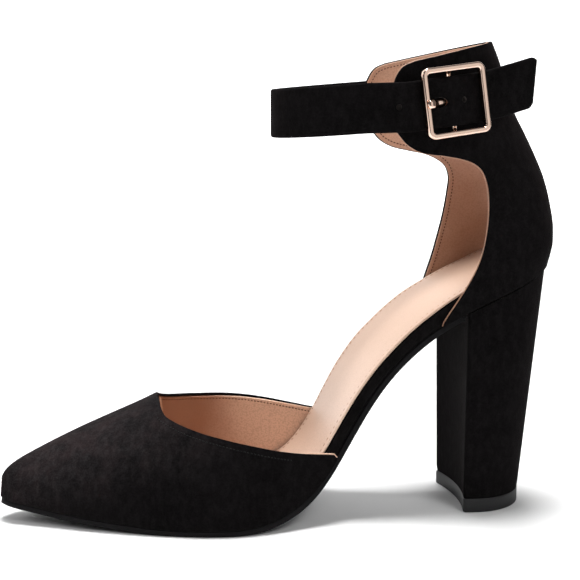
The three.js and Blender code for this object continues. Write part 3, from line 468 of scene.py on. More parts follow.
class Sheet:
    """An open surface of points and quads whose faces turn outwards."""

    def __init__(self, points, quads):
        self.points = points
        self.quads = quads
        a, b, c, d = (points[quads[:, k]] for k in range(4))
        normals = np.zeros_like(points)
        face = np.cross(c - a, d - b)
        for k in range(4):
            np.add.at(normals, quads[:, k], face)
        self.normals = unit(normals)
        self.edge = self.open_edge()
        line = points[self.edge]
        self.edge_way = unit(unit(np.roll(line, -1, 0) - line) + unit(line - np.roll(line, 1, 0)))
        self.edge_out = unit(np.cross(self.edge_way, self.normals[self.edge]))

    def open_edge(self):
        """The points round the open edge, in the order in which the faces turn."""
        pairs = np.concatenate([self.quads[:, [k, (k + 1) % 4]] for k in range(4)])
        after = {(a, b) for a, b in pairs.tolist() if a != b}
        following = {a: b for a, b in after if (b, a) not in after}
        start = next(iter(following))
        line = [start]
        while following[line[-1]] != start:
            line.append(following[line[-1]])
        return np.array(line)

    def wall(self, outer, inner, round_by=EDGE_ROUND, back=0.0, steps=7):
        """Points and faces of a closed wall between two depths, with a rounded edge."""
        count = len(self.points)
        front = self.points + outer * self.normals
        rear = self.points + inner * self.normals
        out = self.edge_out
        back = back * np.ones((len(out), 1))
        front[self.edge] -= back * out
        rear[self.edge] -= back * out
        line = self.points[self.edge] - back * out
        across = self.normals[self.edge]
        rims = []
        for turn in np.linspace(math.pi / 2, -math.pi / 2, steps)[1:-1]:
            high = np.sign(np.sin(turn)) * abs(np.sin(turn)) ** 0.8
            depth = mix(inner, outer, (1 + high) / 2)
            rims.append(line + depth * across + round_by * np.cos(turn) ** 0.8 * out)
        size = len(line)
        rows = [self.edge]
        rows += [2 * count + k * size + np.arange(size) for k in range(len(rims))]
        rows.append(self.edge + count)
        faces = [self.quads, self.quads[:, ::-1] + count]
        for low, high in zip(rows[:-1], rows[1:]):
            faces.append(np.stack([np.roll(low, -1), low, high, np.roll(high, -1)], -1))
        return np.vstack([front, rear, *rims]), np.vstack(faces)


def grid_quads(index):
    """Quads between the neighbours in a grid of point numbers."""
    return np.stack([index[:-1, :-1], index[1:, :-1], index[1:, 1:], index[:-1, 1:]], -1).reshape(-1, 4)


def two_sided(halves, shared, turned):
    """One sheet from a lateral and a medial grid, whose shared places are the same points."""
    shape = halves["lateral"].shape[:2]
    count = shape[0] * shape[1]
    lateral = np.arange(count).reshape(shape)
    medial = lateral + count
    medial[shared] = lateral[shared]
    quads = np.vstack([grid_quads(lateral)[:, ::-1], grid_quads(medial)])
    if turned:
        quads = quads[:, ::-1]
    points = np.vstack([halves[side].reshape(-1, 3) for side in SIDES])
    used, quads = np.unique(quads, return_inverse=True)
    return Sheet(points[used], quads.reshape(-1, 4))


def vamp_sheet():
    """The vamp's outer face, cut at its topline."""
    nose, front, back, rows = 14, 56, 110, 46
    lines = {}
    for side in SIDES:
        knots = np.stack([
            mix(THROAT_ALONG, WING_END[side], TOPLINE["back"]), TOPLINE[side] * THROAT_HEIGHT,
        ], -1)
        line = inwards(through(knots, 60), EDGE_ROUND)
        along, turn, up = vamp_station(*line.T)
        kept = slice(np.argmax(up < 1), np.argmax(turn < WING_TURN) or None)
        lines[side] = along[kept], turn[kept]
    throat = min(along[0] for along, _ in lines.values())
    start = np.concatenate([
        TOE_RADIUS * (np.arange(nose) / nose) ** 2,
        np.linspace(TOE_RADIUS, throat, front + 1),
    ])
    halves = {}
    for side, (along, turn) in lines.items():
        along = np.concatenate([[throat], along])
        turn = np.concatenate([[math.pi / 2], turn])
        _, along, turn = by_arc(vamp_point(side, along, turn), back, along, turn)
        stations = np.concatenate([start, along[1:]])
        tops = np.concatenate([np.full(len(start), math.pi / 2), np.maximum(turn[1:], WING_TURN)])
        share = np.linspace(0, 1, rows)
        grid = vamp_point(side, stations[:, None], tops[:, None] * share)
        edge = slice(len(start) + 4, None)
        inner = grid[edge, -3] - grid[edge, -1]
        near = np.minimum(EDGE_ROW, 0.4 * np.linalg.norm(inner, axis=1))
        grid[edge, -2] = grid[edge, -1] + near[:, None] * unit(inner)
        halves[side] = grid
    shared = np.zeros(halves["lateral"].shape[:2], bool)
    shared[:len(start), -1] = True
    shared[0] = True
    return two_sided(halves, shared, True)


def quarter_sheet():
    """The quarter's outer face with its cuff, cut at its front and top edges."""
    rows, columns, margin = 120, 84, 0.004
    halves = {}
    for side in SIDES:
        x = QUARTER_EDGE[side] * LENGTH
        knots = np.stack([x, mix(quarter_low(x), quarter_high(x), QUARTER_EDGE["level"])], -1)
        line = inwards(through(knots, 40), EDGE_ROUND)
        low = quarter_low(line[:, 0])
        level = (line[:, 1] - low) / (quarter_high(line[:, 0]) - low)
        kept = (level > margin) & (level < 1 - margin)
        _, fronts, levels = by_arc(line[kept], rows, line[kept, 0], level[kept])
        grid = []
        for front, level in zip(fronts, levels):
            first = SEAT_END - (quarter_back(level) - front) / quarter_depth(level)
            stations = mix(first, SEAT_END, np.sin(np.linspace(0, math.pi / 2, 400)))
            grid.append(by_arc(quarter_point(side, stations, level), columns))
        halves[side] = np.array(grid)
    shared = np.zeros(halves["lateral"].shape[:2], bool)
    shared[:, -1] = True
    halves["lateral"][:, -1] = (halves["lateral"][:, -1] + halves["medial"][:, -1]) / 2
    return two_sided(halves, shared, False)


def loft(rings):
    """A closed body through rings of points, with one face across each end."""
    rows, count = rings.shape[:2]
    index = np.arange(rows * count).reshape(rows, count)
    quads = grid_quads(np.hstack([index, index[:, :1]]))
    faces = quads.tolist() + [index[0].tolist(), index[-1, ::-1].tolist()]
    return rings.reshape(-1, 3), faces


def ring_body(rings):
    """A body like a bent ring: rings of points, closed both ways."""
    index = np.arange(rings.shape[0] * rings.shape[1]).reshape(rings.shape[:2])
    index = np.vstack([index, index[:1]])
    index = np.hstack([index, index[:, :1]])
    return rings.reshape(-1, 3), grid_quads(index).tolist()


def footbed_inset(along):
    """How far the footbed's edge lies inside the upper's outer face."""
    wall = mix(VAMP_WALL, QUARTER_WALL, smooth_step(WING_END["medial"], BREAST_ALONG, along))
    return CLEARANCE + wall


def footbed_top(along, side):
    """Level of the footbed's top: padded at the heel, raised at the arch."""
    wing = WING_END["medial"]
    pad = SEAT_PAD * smooth_step(wing + 16, BREAST_ALONG + 6, along)
    arch = smooth_step(wing - 8, wing + 15, along)
    arch = arch * (1 - smooth_step(BREAST_ALONG - 28, BREAST_ALONG + 10, along))
    return UPPER_BASE + FOOTBED_THICKNESS + pad + (ARCH_RISE * arch if side == "medial" else 0)


def bottom_stations(end, body=90):
    """Places from the toe to an end of the bottom, closer where its outline turns."""
    nose = TOE_RADIUS * (np.arange(12) / 12) ** 2
    arc_start = min(end, SEAT_END - SEAT_ARC)
    middle = np.linspace(TOE_RADIUS, arc_start, body)
    if end <= arc_start:
        return np.concatenate([nose, middle])
    seat = arc_start + (end - arc_start) * np.sin(np.linspace(0, math.pi / 2, 24)[1:])
    return np.concatenate([nose, middle, seat])


def layer_point(side, along, half, inset, level):
    """A point of a layer: it stands along the sole's normal in the waist, upright over the seat."""
    normal = over_sole(along, 0, level)
    base = over_sole(along, 0, 0)
    rise = np.maximum(1e-6, normal[..., 2] - base[..., 2])
    reach = np.sum((normal - base) ** 2, -1) / rise
    seated = smooth_step(WING_END["medial"], QUARTER_ROOT, along)
    upright = np.stack([along, np.zeros_like(along), base[..., 2] + reach], -1)
    point = mix(normal, upright, seated[..., None])
    place = np.minimum(point[..., 0], SEAT_END - CLEARANCE)
    spread = cuff_half(side, place, point[..., 2]) - cuff_half(side, place, quarter_low(place))
    point[..., 1] = SIDES[side] * (half - inset + np.maximum(0, spread) * seated)
    return point


def layer(stations, inset_at, low_at, high_at, radius, across=16):
    """Rings of a layer of the bottom, with rounded edges on both sides."""
    halves = {}
    for side in SIDES:
        low, high = low_at(stations, side), high_at(stations, side)
        up = np.clip((high - UPPER_BASE) / crest_height(np.minimum(stations, WING_END["medial"])), 0, 1)
        lean = np.where(stations < THROAT_ALONG, (1 - up**SECTION_POWER) ** (1 / SECTION_POWER), 1)
        along, half = inset_edge(side, stations, inset_at(stations))
        half = half * lean
        round_by = np.minimum(np.minimum(radius, (high - low) / 2.2), half / 2)
        turns = np.linspace(0, math.pi / 2, 5)
        rim = [(1 - math.sin(t), low + (1 - math.cos(t)) * round_by) for t in turns]
        rim += [(1 - math.cos(t), high - (1 - math.sin(t)) * round_by) for t in turns]
        halves[side] = [layer_point(side, along, half, out * round_by, level) for out, level in rim]
    medial, lateral = halves["medial"], halves["lateral"][::-1]
    shares = np.linspace(0, 1, across)[1:-1]
    top = [mix(medial[-1], lateral[0], share) for share in shares]
    bottom = [mix(lateral[-1], medial[0], share) for share in shares]
    return np.stack([*medial, *top, *lateral, *bottom], 1)


def heel_loop(place):
    """Points round the heel at one height, from a function of share back and share across."""
    across = np.linspace(-1, 1, 31)
    back = np.sin(np.linspace(0, math.pi / 2, 60))[1:]
    share = np.concatenate([np.zeros_like(across), back, back[-2::-1]])
    sideways = np.concatenate([across, np.ones_like(back), -np.ones(len(back) - 1)])
    bow = BREAST_HOLLOW * (1 - share) ** 3 * (1 - sideways**2)
    return place(share, sideways, bow)


def lift_loop(height, inset=0.0):
    """Points round the top lift's outline at a height, moved inwards by an inset."""

    def place(share, sideways, bow):
        along = LIFT_ALONG + inset + (LIFT_DEPTH - 2 * inset) * share
        wide = LIFT_WIDTH / 2
        arc_start = LIFT_ALONG + LIFT_DEPTH - LIFT_ARC
        front = mix(wide - 0.5, wide, (along - LIFT_ALONG) / (arc_start - LIFT_ALONG))
        reach = np.clip((along - arc_start) / LIFT_ARC, 0, 1)
        half = np.where(along <= arc_start, front, wide * (1 - reach**1.9) ** (1 / 1.9)) - inset
        return np.stack([along + bow, sideways * np.maximum(half, 0), np.full_like(along, height)], -1)

    return heel_loop(place)


def seat_loop():
    """Points round the heel's top, under the outsole and the seat."""

    def place(share, sideways, bow):
        station = mix(BREAST_ALONG, SEAT_END, share)
        halves = [inset_edge(side, station, 0)[1] for side in SIDES]
        half = np.where(sideways < 0, *halves)
        return over_sole(station + bow, sideways * half, OUTSOLE_THICKNESS)

    return heel_loop(place)


def softened(rings, passes):
    """Rings whose corners are rounded by averaging each point with its neighbours."""
    for _ in range(passes):
        rings = (np.roll(rings, 1, 1) + 2 * rings + np.roll(rings, -1, 1)) / 4
    return rings


# The buckle's own axes: along the strap towards the heel, up the strap, and outwards
ONWARD = np.array([
    math.cos(BUCKLE_TURN) * math.cos(BUCKLE_SLOPE),
    math.sin(BUCKLE_TURN) * math.cos(BUCKLE_SLOPE),
    math.sin(BUCKLE_SLOPE),
])
LEVEL = np.array([math.sin(BUCKLE_TURN), -math.cos(BUCKLE_TURN), 0.0])
OUTWARDS = LEVEL * math.cos(BUCKLE_LEAN) + unit(np.cross(LEVEL, ONWARD)) * math.sin(BUCKLE_LEAN)
UPWARDS = unit(np.cross(OUTWARDS, ONWARD))

# Depths below the buckle's face, outermost first
LOOP_RADIUS = PIN_RADIUS + CLEARANCE + TAB_THICKNESS
STRAP_UNDER_BAR = BAR_DEPTH + 2.5 * CLEARANCE + STRAP_THICKNESS / 2
PIN_DEPTH = BAR_DEPTH + 2
STRAP_OVER_PIN = PIN_DEPTH - LOOP_RADIUS - CLEARANCE - STRAP_THICKNESS / 2
CUFF_DEPTH = PIN_DEPTH + LOOP_RADIUS + CLEARANCE
CUFF_SIDE = -float(cuff_half("lateral", BUCKLE_ALONG, BUCKLE_HEIGHT))
ON_CUFF = np.array([BUCKLE_ALONG, CUFF_SIDE, BUCKLE_HEIGHT])
BUCKLE_FACE = ON_CUFF + OUTWARDS * CUFF_DEPTH


def at_buckle(places):
    """Points given by onward, upwards and height over the buckle's face."""
    places = np.asarray(places, float)
    return BUCKLE_FACE + places @ np.stack([ONWARD, UPWARDS, OUTWARDS])


def strap_line():
    """Centre points and leans of the strap, from its sewn end round the front to the tail."""
    slope = math.tan(BUCKLE_SLOPE) * STRAP_SLOPE_SHARE
    knots, leans = [], []
    for along in np.linspace(STRAP_MEDIAL_END, STRAP_LOOP_CENTRE + 8, 4):
        height = STRAP_FRONT_HEIGHT + (along - STRAP_FRONT) * slope
        half = float(cuff_half("medial", along, height)) + CLEARANCE + STRAP_THICKNESS / 2
        knots.append([along, half, height])
        leans.append(STRAP_END_LEAN)
    for turn in np.radians(np.linspace(80, -80, 15)):
        along = STRAP_LOOP_CENTRE - (STRAP_LOOP_CENTRE - STRAP_FRONT) * math.cos(turn)
        half = STRAP_LOOP_HALF_WIDTH + STRAP_BULGE["lateral" if turn < 0 else "medial"]
        height = STRAP_FRONT_HEIGHT + (along - STRAP_FRONT) * slope
        knots.append([along, half * math.sin(turn), height])
        leans.append(0.0)
    bar = (BUCKLE_SIZE - BAR_WIDTH) / 2
    halfway = mix(STRAP_UNDER_BAR, STRAP_OVER_PIN, 0.55)
    for onward, depth in [
        (-bar - 5, STRAP_UNDER_BAR + 0.2), (-bar, STRAP_UNDER_BAR), (-bar / 2, halfway),
        (0, STRAP_OVER_PIN), (bar / 2, halfway), (bar, STRAP_UNDER_BAR),
        (bar + 6, STRAP_UNDER_BAR - 0.3), (bar + 12, STRAP_UNDER_BAR - 0.2),
        (STRAP_TAIL, STRAP_UNDER_BAR + 1),
    ]:
        lift = TAIL_LIFT * float(smooth_step(bar - 1, STRAP_TAIL + 6, onward))
        knots.append(at_buckle([onward, lift, -depth]).tolist())
        leans.append(BUCKLE_LEAN)
    steps = 14
    line = through(knots, steps)
    lean = np.interp(np.arange(len(line)) / steps, np.arange(len(leans)), leans)
    return line, lean, steps


def strap_frames():
    """The strap's centre line with its way, up and out directions and its end's shape."""
    line, lean, steps = strap_line()
    way = unit(np.gradient(line, axis=0))
    level = line - [STRAP_LOOP_CENTRE + 10, 0, 0]
    across = unit(np.stack([-way[:, 1], way[:, 0], np.zeros(len(way))], -1))
    across *= np.where(np.sum(across[:, :2] * level[:, :2], 1) < 0, -1, 1)[:, None]
    upright = unit(np.cross(across, way))
    upright *= np.where(upright[:, 2:] < 0, -1, 1)
    lean = lean[:, None]
    out = across * np.cos(lean) + upright * np.sin(lean)
    up = upright * np.cos(lean) - across * np.sin(lean)
    to_end = (len(line) - 1 - np.arange(len(line))) / steps
    slant = np.maximum(0, 1 - to_end) * math.tan(TAIL_SLANT)
    return line, way, up, out, slant, to_end


def strap_profile(thick, corner):
    """The strap's section: shares of its half width, places aside of them and outwards."""
    turns = np.linspace(0, math.pi / 2, 5)
    rows = []
    for k, (wide, out) in enumerate([(1, 1), (-1, 1), (-1, -1), (1, -1)]):
        turned = turns + k * math.pi / 2
        middle = out * (thick - corner)
        rows += [(wide, corner * math.cos(t), middle + corner * math.sin(t)) for t in turned]
        if k in (0, 2):
            start = np.array(rows[-1])
            end = start * [-1, -1, 1]
            rows += [tuple(mix(start, end, share)) for share in np.linspace(0, 1, 12)[1:-1]]
    return np.array(rows).T


def add_piece(name, points, faces, materials, slot, stands_for=(), sharp=0.9, marks=None):
    """A mesh in the frame from points in millimetres, riding on the shoe."""
    mesh = bpy.data.meshes.new(name)
    if isinstance(faces, np.ndarray):
        faces = faces.tolist()
    mesh.from_pydata(((points - ORIGIN) * MM).tolist(), [], faces)
    for material in materials:
        mesh.materials.append(material)
    if marks is not None:
        mesh.polygons.foreach_set("material_index", np.asarray(marks, np.int32))
    edit = bmesh.new()
    edit.from_mesh(mesh)
    bmesh.ops.dissolve_degenerate(edit, dist=1e-7, edges=edit.edges)
    bmesh.ops.recalc_face_normals(edit, faces=edit.faces)
    edit.to_mesh(mesh)
    edit.free()
    mesh.shade_smooth()
    mesh.set_sharp_from_angle(angle=sharp)
    piece = bpy.data.objects.new(name, mesh)
    bpy.context.scene.collection.objects.link(piece)
    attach(piece, "root")
    if stands_for:
        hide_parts(*stands_for)
    return piece


def beads(line, across, pitch, size, thick, gap_seed=3):
    """Points and faces of a row of stitches along a line, each a small stretched bead."""
    spaced = by_arc(line, max(2, int(arc_length(line)[-1] / pitch)))
    arc = arc_length(line)
    at = np.linspace(0, arc[-1], len(spaced))
    up = unit(np.stack([np.interp(at, arc, column) for column in across.T], -1))
    way = unit(np.gradient(spaced, axis=0))
    side = unit(np.cross(up, way))
    jitter = np.random.default_rng(gap_seed).normal(0, 0.04, len(spaced))
    turns = np.linspace(0, 2 * math.pi, 8, endpoint=False)
    ring = np.stack([np.cos(turns), np.sin(turns)], -1)
    rings = [(-1, 0.15), (-0.8, 0.75), (0, 1.0), (0.8, 0.75), (1, 0.15)]
    points, faces = [], []
    for centre, w, s, u, j in zip(spaced, way, side, up, jitter):
        base = len(points)
        for share, wide in rings:
            for c, d in ring:
                point = centre + w * share * size / 2 * (1 + j)
                points.append(point + s * c * thick * wide + u * d * thick * 0.6 * wide)
        index = base + np.arange(len(rings) * len(ring)).reshape(len(rings), len(ring))
        faces += grid_quads(np.hstack([index, index[:, :1]])).tolist()
        faces += [index[0].tolist(), index[-1, ::-1].tolist()]
    return np.array(points), faces


def joined(*bodies):
    """Several bodies of points and faces as one."""
    points, faces, start = [], [], 0
    for body_points, body_faces in bodies:
        points.append(body_points)
        faces += [[start + k for k in face] for face in body_faces]
        start += len(body_points)
    return np.vstack(points), faces


class Value:
    """A number that varies over a surface: arithmetic on it adds Math nodes."""

    def __init__(self, shader, socket):
        self.shader = shader
        self.socket = socket

    def math(self, operation, *values):
        node = self.shader.node("ShaderNodeMath", {"operation": operation}, dict(enumerate(values)))
        return Value(self.shader, node.outputs[0])

    def __add__(self, other):
        return self.math("ADD", self, other)

    __radd__ = __add__

    def __mul__(self, other):
        return self.math("MULTIPLY", self, other)

    __rmul__ = __mul__

    def __sub__(self, other):
        return self.math("SUBTRACT", self, other)

    def __rsub__(self, other):
        return self.math("SUBTRACT", other, self)

    def rising(self, start, end):
        """Smoothly from 0 at start to 1 at end."""
        settings = {"interpolation_type": "SMOOTHSTEP"}
        inputs = {0: self, 1: start, 2: end, 3: 0.0, 4: 1.0}
        node = self.shader.node("ShaderNodeMapRange", settings, inputs)
        return Value(self.shader, node.outputs[0])


class Shader:
    """A material's nodes: one method adds each of them."""

    def __init__(self, name):
        self.material = bpy.data.materials.new(name)
        self.material.use_nodes = True
        self.tree = self.material.node_tree
        self.surface = self.tree.nodes["Principled BSDF"]
        self.place = self.node("ShaderNodeTexCoord").outputs["Object"]

    def node(self, kind, settings=None, inputs=None):
        """A new node: its settings are set first, then the values or links of its sockets."""
        node = self.tree.nodes.new(kind)
        for key, value in (settings or {}).items():
            setattr(node, key, value)
        for key, value in (inputs or {}).items():
            self.feed(node.inputs[key], value)
        return node

    def feed(self, socket, value):
        if isinstance(value, Value):
            value = value.socket
        if isinstance(value, bpy.types.NodeSocket):
            self.tree.links.new(value, socket)
        else:
            socket.default_value = value

    def noise(self, scale, detail=3.0, rough=0.55, stretch=None, distort=0.0):
        place = self.place
        if stretch:
            node = self.node("ShaderNodeMapping", None, {"Vector": place, "Scale": stretch})
            place = node.outputs[0]
        inputs = {"Vector": place, "Scale": scale, "Detail": detail, "Roughness": rough}
        inputs["Distortion"] = distort
        return Value(self, self.node("ShaderNodeTexNoise", None, inputs).outputs["Fac"])

    def cells(self, scale):
        inputs = {"Vector": self.place, "Scale": scale}
        node = self.node("ShaderNodeTexVoronoi", {"feature": "F1"}, inputs)
        return Value(self, node.outputs["Distance"])

    def axes(self):
        node = self.node("ShaderNodeSeparateXYZ", None, {0: self.place})
        return [Value(self, socket) for socket in node.outputs]

    def blend(self, share, first, second):
        node = self.node("ShaderNodeMix", {"data_type": "RGBA"}, {0: share, 6: first, 7: second})
        return node.outputs[2]

    def bump(self, height, distance, strength=1.0, under=None):
        inputs = {"Height": height, "Distance": distance, "Strength": strength}
        if under is not None:
            inputs["Normal"] = under
        return self.node("ShaderNodeBump", None, inputs).outputs[0]

    def finish(self, **sockets):
        for key, value in sockets.items():
            self.feed(self.surface.inputs[key.replace("_", " ").title().replace("Ior", "IOR")], value)
        return self.material


def colour(values, share=1.0):
    """A colour made lighter or darker by a share, with its alpha."""
    return (*(value * share for value in values), 1.0)


def suede_material(name):
    """Near-black suede: short nap, soft brushed patches, and a painted sheen that makes it lighter and
    warmer on the toe's top.
    """
    looks = bpy.context.scene.pump_colours
    shader = Shader(name)
    x, _, z = shader.axes()
    nap = shader.noise(1500.0, 4.0, 0.7)
    fibre = shader.noise(420.0, 3.0, 0.6, (1.0, 1.0, 0.5))
    patch = shader.noise(110.0, 5.0, 0.65, None, 0.4)
    broad = shader.noise(30.0, 2.0, 0.5)
    # toe and top mask a painted sheen: the suede is lightened on the toe's upper faces, where the
    # overhead light catches the nap.
    toe = 1 - x.rising(-0.1, 0.015)
    top = (z - 0.35 * x - 0.028).rising(0.004, 0.03)
    brushed = (patch * 0.5 + broad * 0.5).rising(0.28, 0.72)
    # lit is the nap's random mottle. Inside the painted sheen it is raised to the light suede tone;
    # elsewhere it stays a faint mottle.
    lit = 0.3 * brushed + 0.4 * nap.rising(0.35, 0.7) + 0.3 * fibre.rising(0.4, 0.7)
    share = lit * (0.25 + 0.75 * toe * top)
    base = shader.blend(share, colour(looks.suede, 0.3), colour(looks.suede, 5.0))
    # The brown-red nap mottle shows only inside the painted sheen. It is partly the nap's own tone and
    # partly painted sheen.
    warm = patch.rising(0.35, 0.8) * toe * top * 0.45
    base = shader.blend(warm, base, colour(looks.suede_warm))
    normal = shader.bump(patch, 0.0006, 0.25)
    normal = shader.bump(nap * 0.6 + fibre * 0.4, looks.nap, 0.9, normal)
    return shader.finish(
        base_color=base, roughness=0.86 + 0.12 * brushed, normal=normal,
        sheen_weight=0.02, sheen_roughness=0.4, sheen_tint=colour(looks.suede_warm, 12.0),
        specular_ior_level=0.02,
    )


def leather_material(name, light, dark, gloss, grain, shade):
    """Smooth lining leather with a fine grain and a soft random tone, darker where a function of the
    place paints shade on it.
    """
    shader = Shader(name)
    cells = shader.cells(grain)
    soft = shader.noise(28.0, 3.0, 0.55)
    fine = shader.noise(900.0, 2.0, 0.5)
    # Painted shade: the place function, with a soft random tone, blends the light colour into the dark
    # one.
    painted_shade_and_tone = (shade(*shader.axes()) + 0.5 * (soft - 0.5)).rising(0.0, 1.0)
    base = shader.blend(painted_shade_and_tone, colour(light), colour(dark))
    base = shader.blend(cells.rising(0.35, 0.8) * 0.25, base, colour(dark, 0.85))
    normal = shader.bump(soft, 0.0008, 0.25)
    normal = shader.bump(cells * 0.7 + fine * 0.3, 0.00006, 0.7, normal)
    return shader.finish(
        base_color=base, roughness=gloss + 0.12 * painted_shade_and_tone + 0.05 * cells, normal=normal,
        coat_weight=0.12, coat_roughness=0.35,
    )


def rubber_material(name, tone, shine, speckle=0.35):
    """Dark moulded rubber with a fine grit and smeared patches."""
    shader = Shader(name)
    grit = shader.noise(1300.0, 3.0, 0.6)
    smear = shader.noise(60.0, 3.0, 0.6)
    base = shader.blend(smear.rising(0.35, 0.7) * speckle + grit.rising(0.55, 0.8) * 0.2,
                        colour(tone), colour(tone, 1.8))
    return shader.finish(
        base_color=base, roughness=0.5 + 0.2 * smear, normal=shader.bump(grit, 0.00005, 0.6),
        specular_ior_level=shine,
    )


def metal_material(name):
    """Polished rose gold with faint wear in its gloss."""
    looks = bpy.context.scene.pump_colours
    shader = Shader(name)
    wear = shader.noise(260.0, 4.0, 0.6)
    base = shader.blend(wear.rising(0.4, 0.75) * 0.35, colour(looks.metal), colour(looks.metal, 0.86))
    return shader.finish(
        base_color=base, metallic=1.0, roughness=0.09 + 0.12 * wear.rising(0.5, 0.8),
        normal=shader.bump(wear, 0.00003, 0.25),
    )


def thread_material(name, tone, gloss=0.5):
    """Dull sewing thread with a fine twist."""
    shader = Shader(name)
    twist = shader.noise(2600.0, 2.0, 0.5)
    base = shader.blend(twist.rising(0.35, 0.7), colour(tone, 0.7), colour(tone, 1.3))
    return shader.finish(
        base_color=base, roughness=gloss, normal=shader.bump(twist, 0.00005, 0.8),
        specular_ior_level=0.12,
    )


def hole_material(name):
    """Raw edge of the strap's cut holes."""
    shader = Shader(name)
    fibre = shader.noise(1800.0, 3.0, 0.6)
    base = shader.blend(fibre, (0.006, 0.005, 0.005, 1), (0.03, 0.022, 0.018, 1))
    return shader.finish(base_color=base, roughness=0.9, normal=shader.bump(fibre, 0.0001, 0.6))


def made(name, maker, *settings):
    """A material by name, made once."""
    return bpy.data.materials.get(name) or maker(name, *settings)


def lining_shade(x, y, z):
    """Painted light on the lining: it is lighter at the vamp's wings and at the ears, where light falls
    on it.
    """
    wings = x.rising(-0.035, 0.002) * (1 - x.rising(0.02, 0.04))
    # Each term paints light: a lower value gives the lining's light colour.
    return 1 - 0.9 * wings - 0.35 * x.rising(0.02, 0.06) - 0.25 * z.rising(0.13, 0.165)


def sock_shade(x, y, z):
    """Painted shade: the sock darkens gently up its slope and towards its far side, away from the light.
    """
    return 0.4 + 0.7 * z.rising(0.03, 0.1) + 0.3 * y.rising(-0.01, 0.02)


def suede():
    return made("suede_nap", suede_material)


def lining():
    looks = bpy.context.scene.pump_colours
    settings = looks.lining, looks.lining_dark, 0.4, 1500.0, lining_shade
    return made("lining_grain", leather_material, *settings)


def sock_leather():
    looks = bpy.context.scene.pump_colours
    settings = looks.sock, looks.sock_dark, 0.36, 1700.0, sock_shade
    return made("sock_grain", leather_material, *settings)


def black_thread():
    return made("black_thread", thread_material, (0.004, 0.004, 0.004), 0.55)


def brown_thread():
    return made("brown_thread", thread_material, (0.11, 0.05, 0.035), 0.5)


def tint(name, description, default):
    """A colour that the user can change."""
    return bpy.props.FloatVectorProperty(
        name=name, description=description, subtype="COLOR", default=default, min=0, max=1,
    )


def length(name, description, default, low, high):
    """A length in millimetres that the user can change."""
    return bpy.props.FloatProperty(
        name=name, description=description, unit="LENGTH",
        default=default * MM, min=low * MM, max=high * MM,
    )


class PumpColours(bpy.types.PropertyGroup):
    """Colours and surface depths of the pump."""

    suede: tint("Suede", "Mean colour of the suede", (0.0064, 0.0058, 0.006))
    # The warm nap colour tints the suede's sheen and is blended in only inside the toe's painted sheen.
    suede_warm: tint("Warm nap", "Brown-red of the brushed nap near the toe", (0.034, 0.021, 0.021))
    lining: tint("Lining", "Light tone of the lining leather", (0.8, 0.53, 0.385))
    # The dark tones of the lining and the sock are their painted shade, also used for the grain's dark
    # cells.
    lining_dark: tint("Lining, dark", "Dark tone of the lining leather", (0.29, 0.112, 0.05))
    sock: tint("Sock", "Light tone of the sock leather", (0.76, 0.555, 0.44))
    sock_dark: tint("Sock, dark", "Dark tone of the sock leather", (0.5, 0.335, 0.245))
    sole: tint("Outsole", "Colour of the outsole's rubber", (0.007, 0.0065, 0.007))
    lift: tint("Top lift", "Colour of the top lift's rubber", (0.012, 0.012, 0.0125))
    metal: tint("Buckle", "Colour of the buckle's metal", (0.93, 0.68, 0.55))
    floor: tint("Floor", "Colour of the studio floor", (0.86, 0.86, 0.86))
    nap: length("Nap depth", "Depth of the suede's nap", 0.25, 0, 2)


class PumpSizes(bpy.types.PropertyGroup):
    """Sizes of the sewing and the punched holes."""

    stitch_pitch: length("Stitch pitch", "Distance between the stitches' middles", 1.35, 0.8, 6)
    stitch_length: length("Stitch length", "Length of one stitch", 0.85, 0.4, 5)
    stitch_inset: length(
        "Stitch inset", "Distance of the suede's stitches from the edge", 2.4, 1, 6,
    )
    lining_inset: length(
        "Lining stitch inset", "Distance of the lining's stitches from the edge", 1.6, 0.8, 6,
    )
    hole_radius: length("Hole radius", "Radius of the strap's punched holes", 1.15, 0.5, 2)


def stitch_sizes():
    """The stitches' pitch, length and two insets in millimetres."""
    sizes = bpy.context.scene.pump_sizes
    insets = sizes.stitch_inset / MM, sizes.lining_inset / MM
    return sizes.stitch_pitch / MM, sizes.stitch_length / MM, *insets


def edge_row(sheet, kept, inset, depth):
    """Points and normals of a row that follows a part of a sheet's edge at a distance."""
    line = sheet.points[sheet.edge]
    normal = sheet.normals[sheet.edge]
    chosen = kept(line)
    start = int(np.argmax(chosen & ~np.roll(chosen, 1)))
    order = np.roll(np.arange(len(line)), -start)
    order = order[chosen[order]]
    row = line[order] - inset * sheet.edge_out[order] + depth * normal[order]
    return row, normal[order]


def vamp_lining_back(sheet):
    """How far the vamp lining's edge stays back: it comes out along the topline of each wing."""
    line = sheet.points[sheet.edge]
    along, topline = line[:, :1], sheet.edge_out[:, 2:] > 0.2
    wing = smooth_step(WING_END["lateral"] - 22, WING_END["lateral"] - 10, along)
    far_wing = smooth_step(THROAT_ALONG + 20, WING_END["medial"] - 10, along)
    near = VAMP_LINING_BACK["lateral"] - WING_LINING_RISE["lateral"] * wing * topline
    far = VAMP_LINING_BACK["medial"] - WING_LINING_RISE["medial"] * far_wing
    return np.where(line[:, 1:2] < 0, near, far)


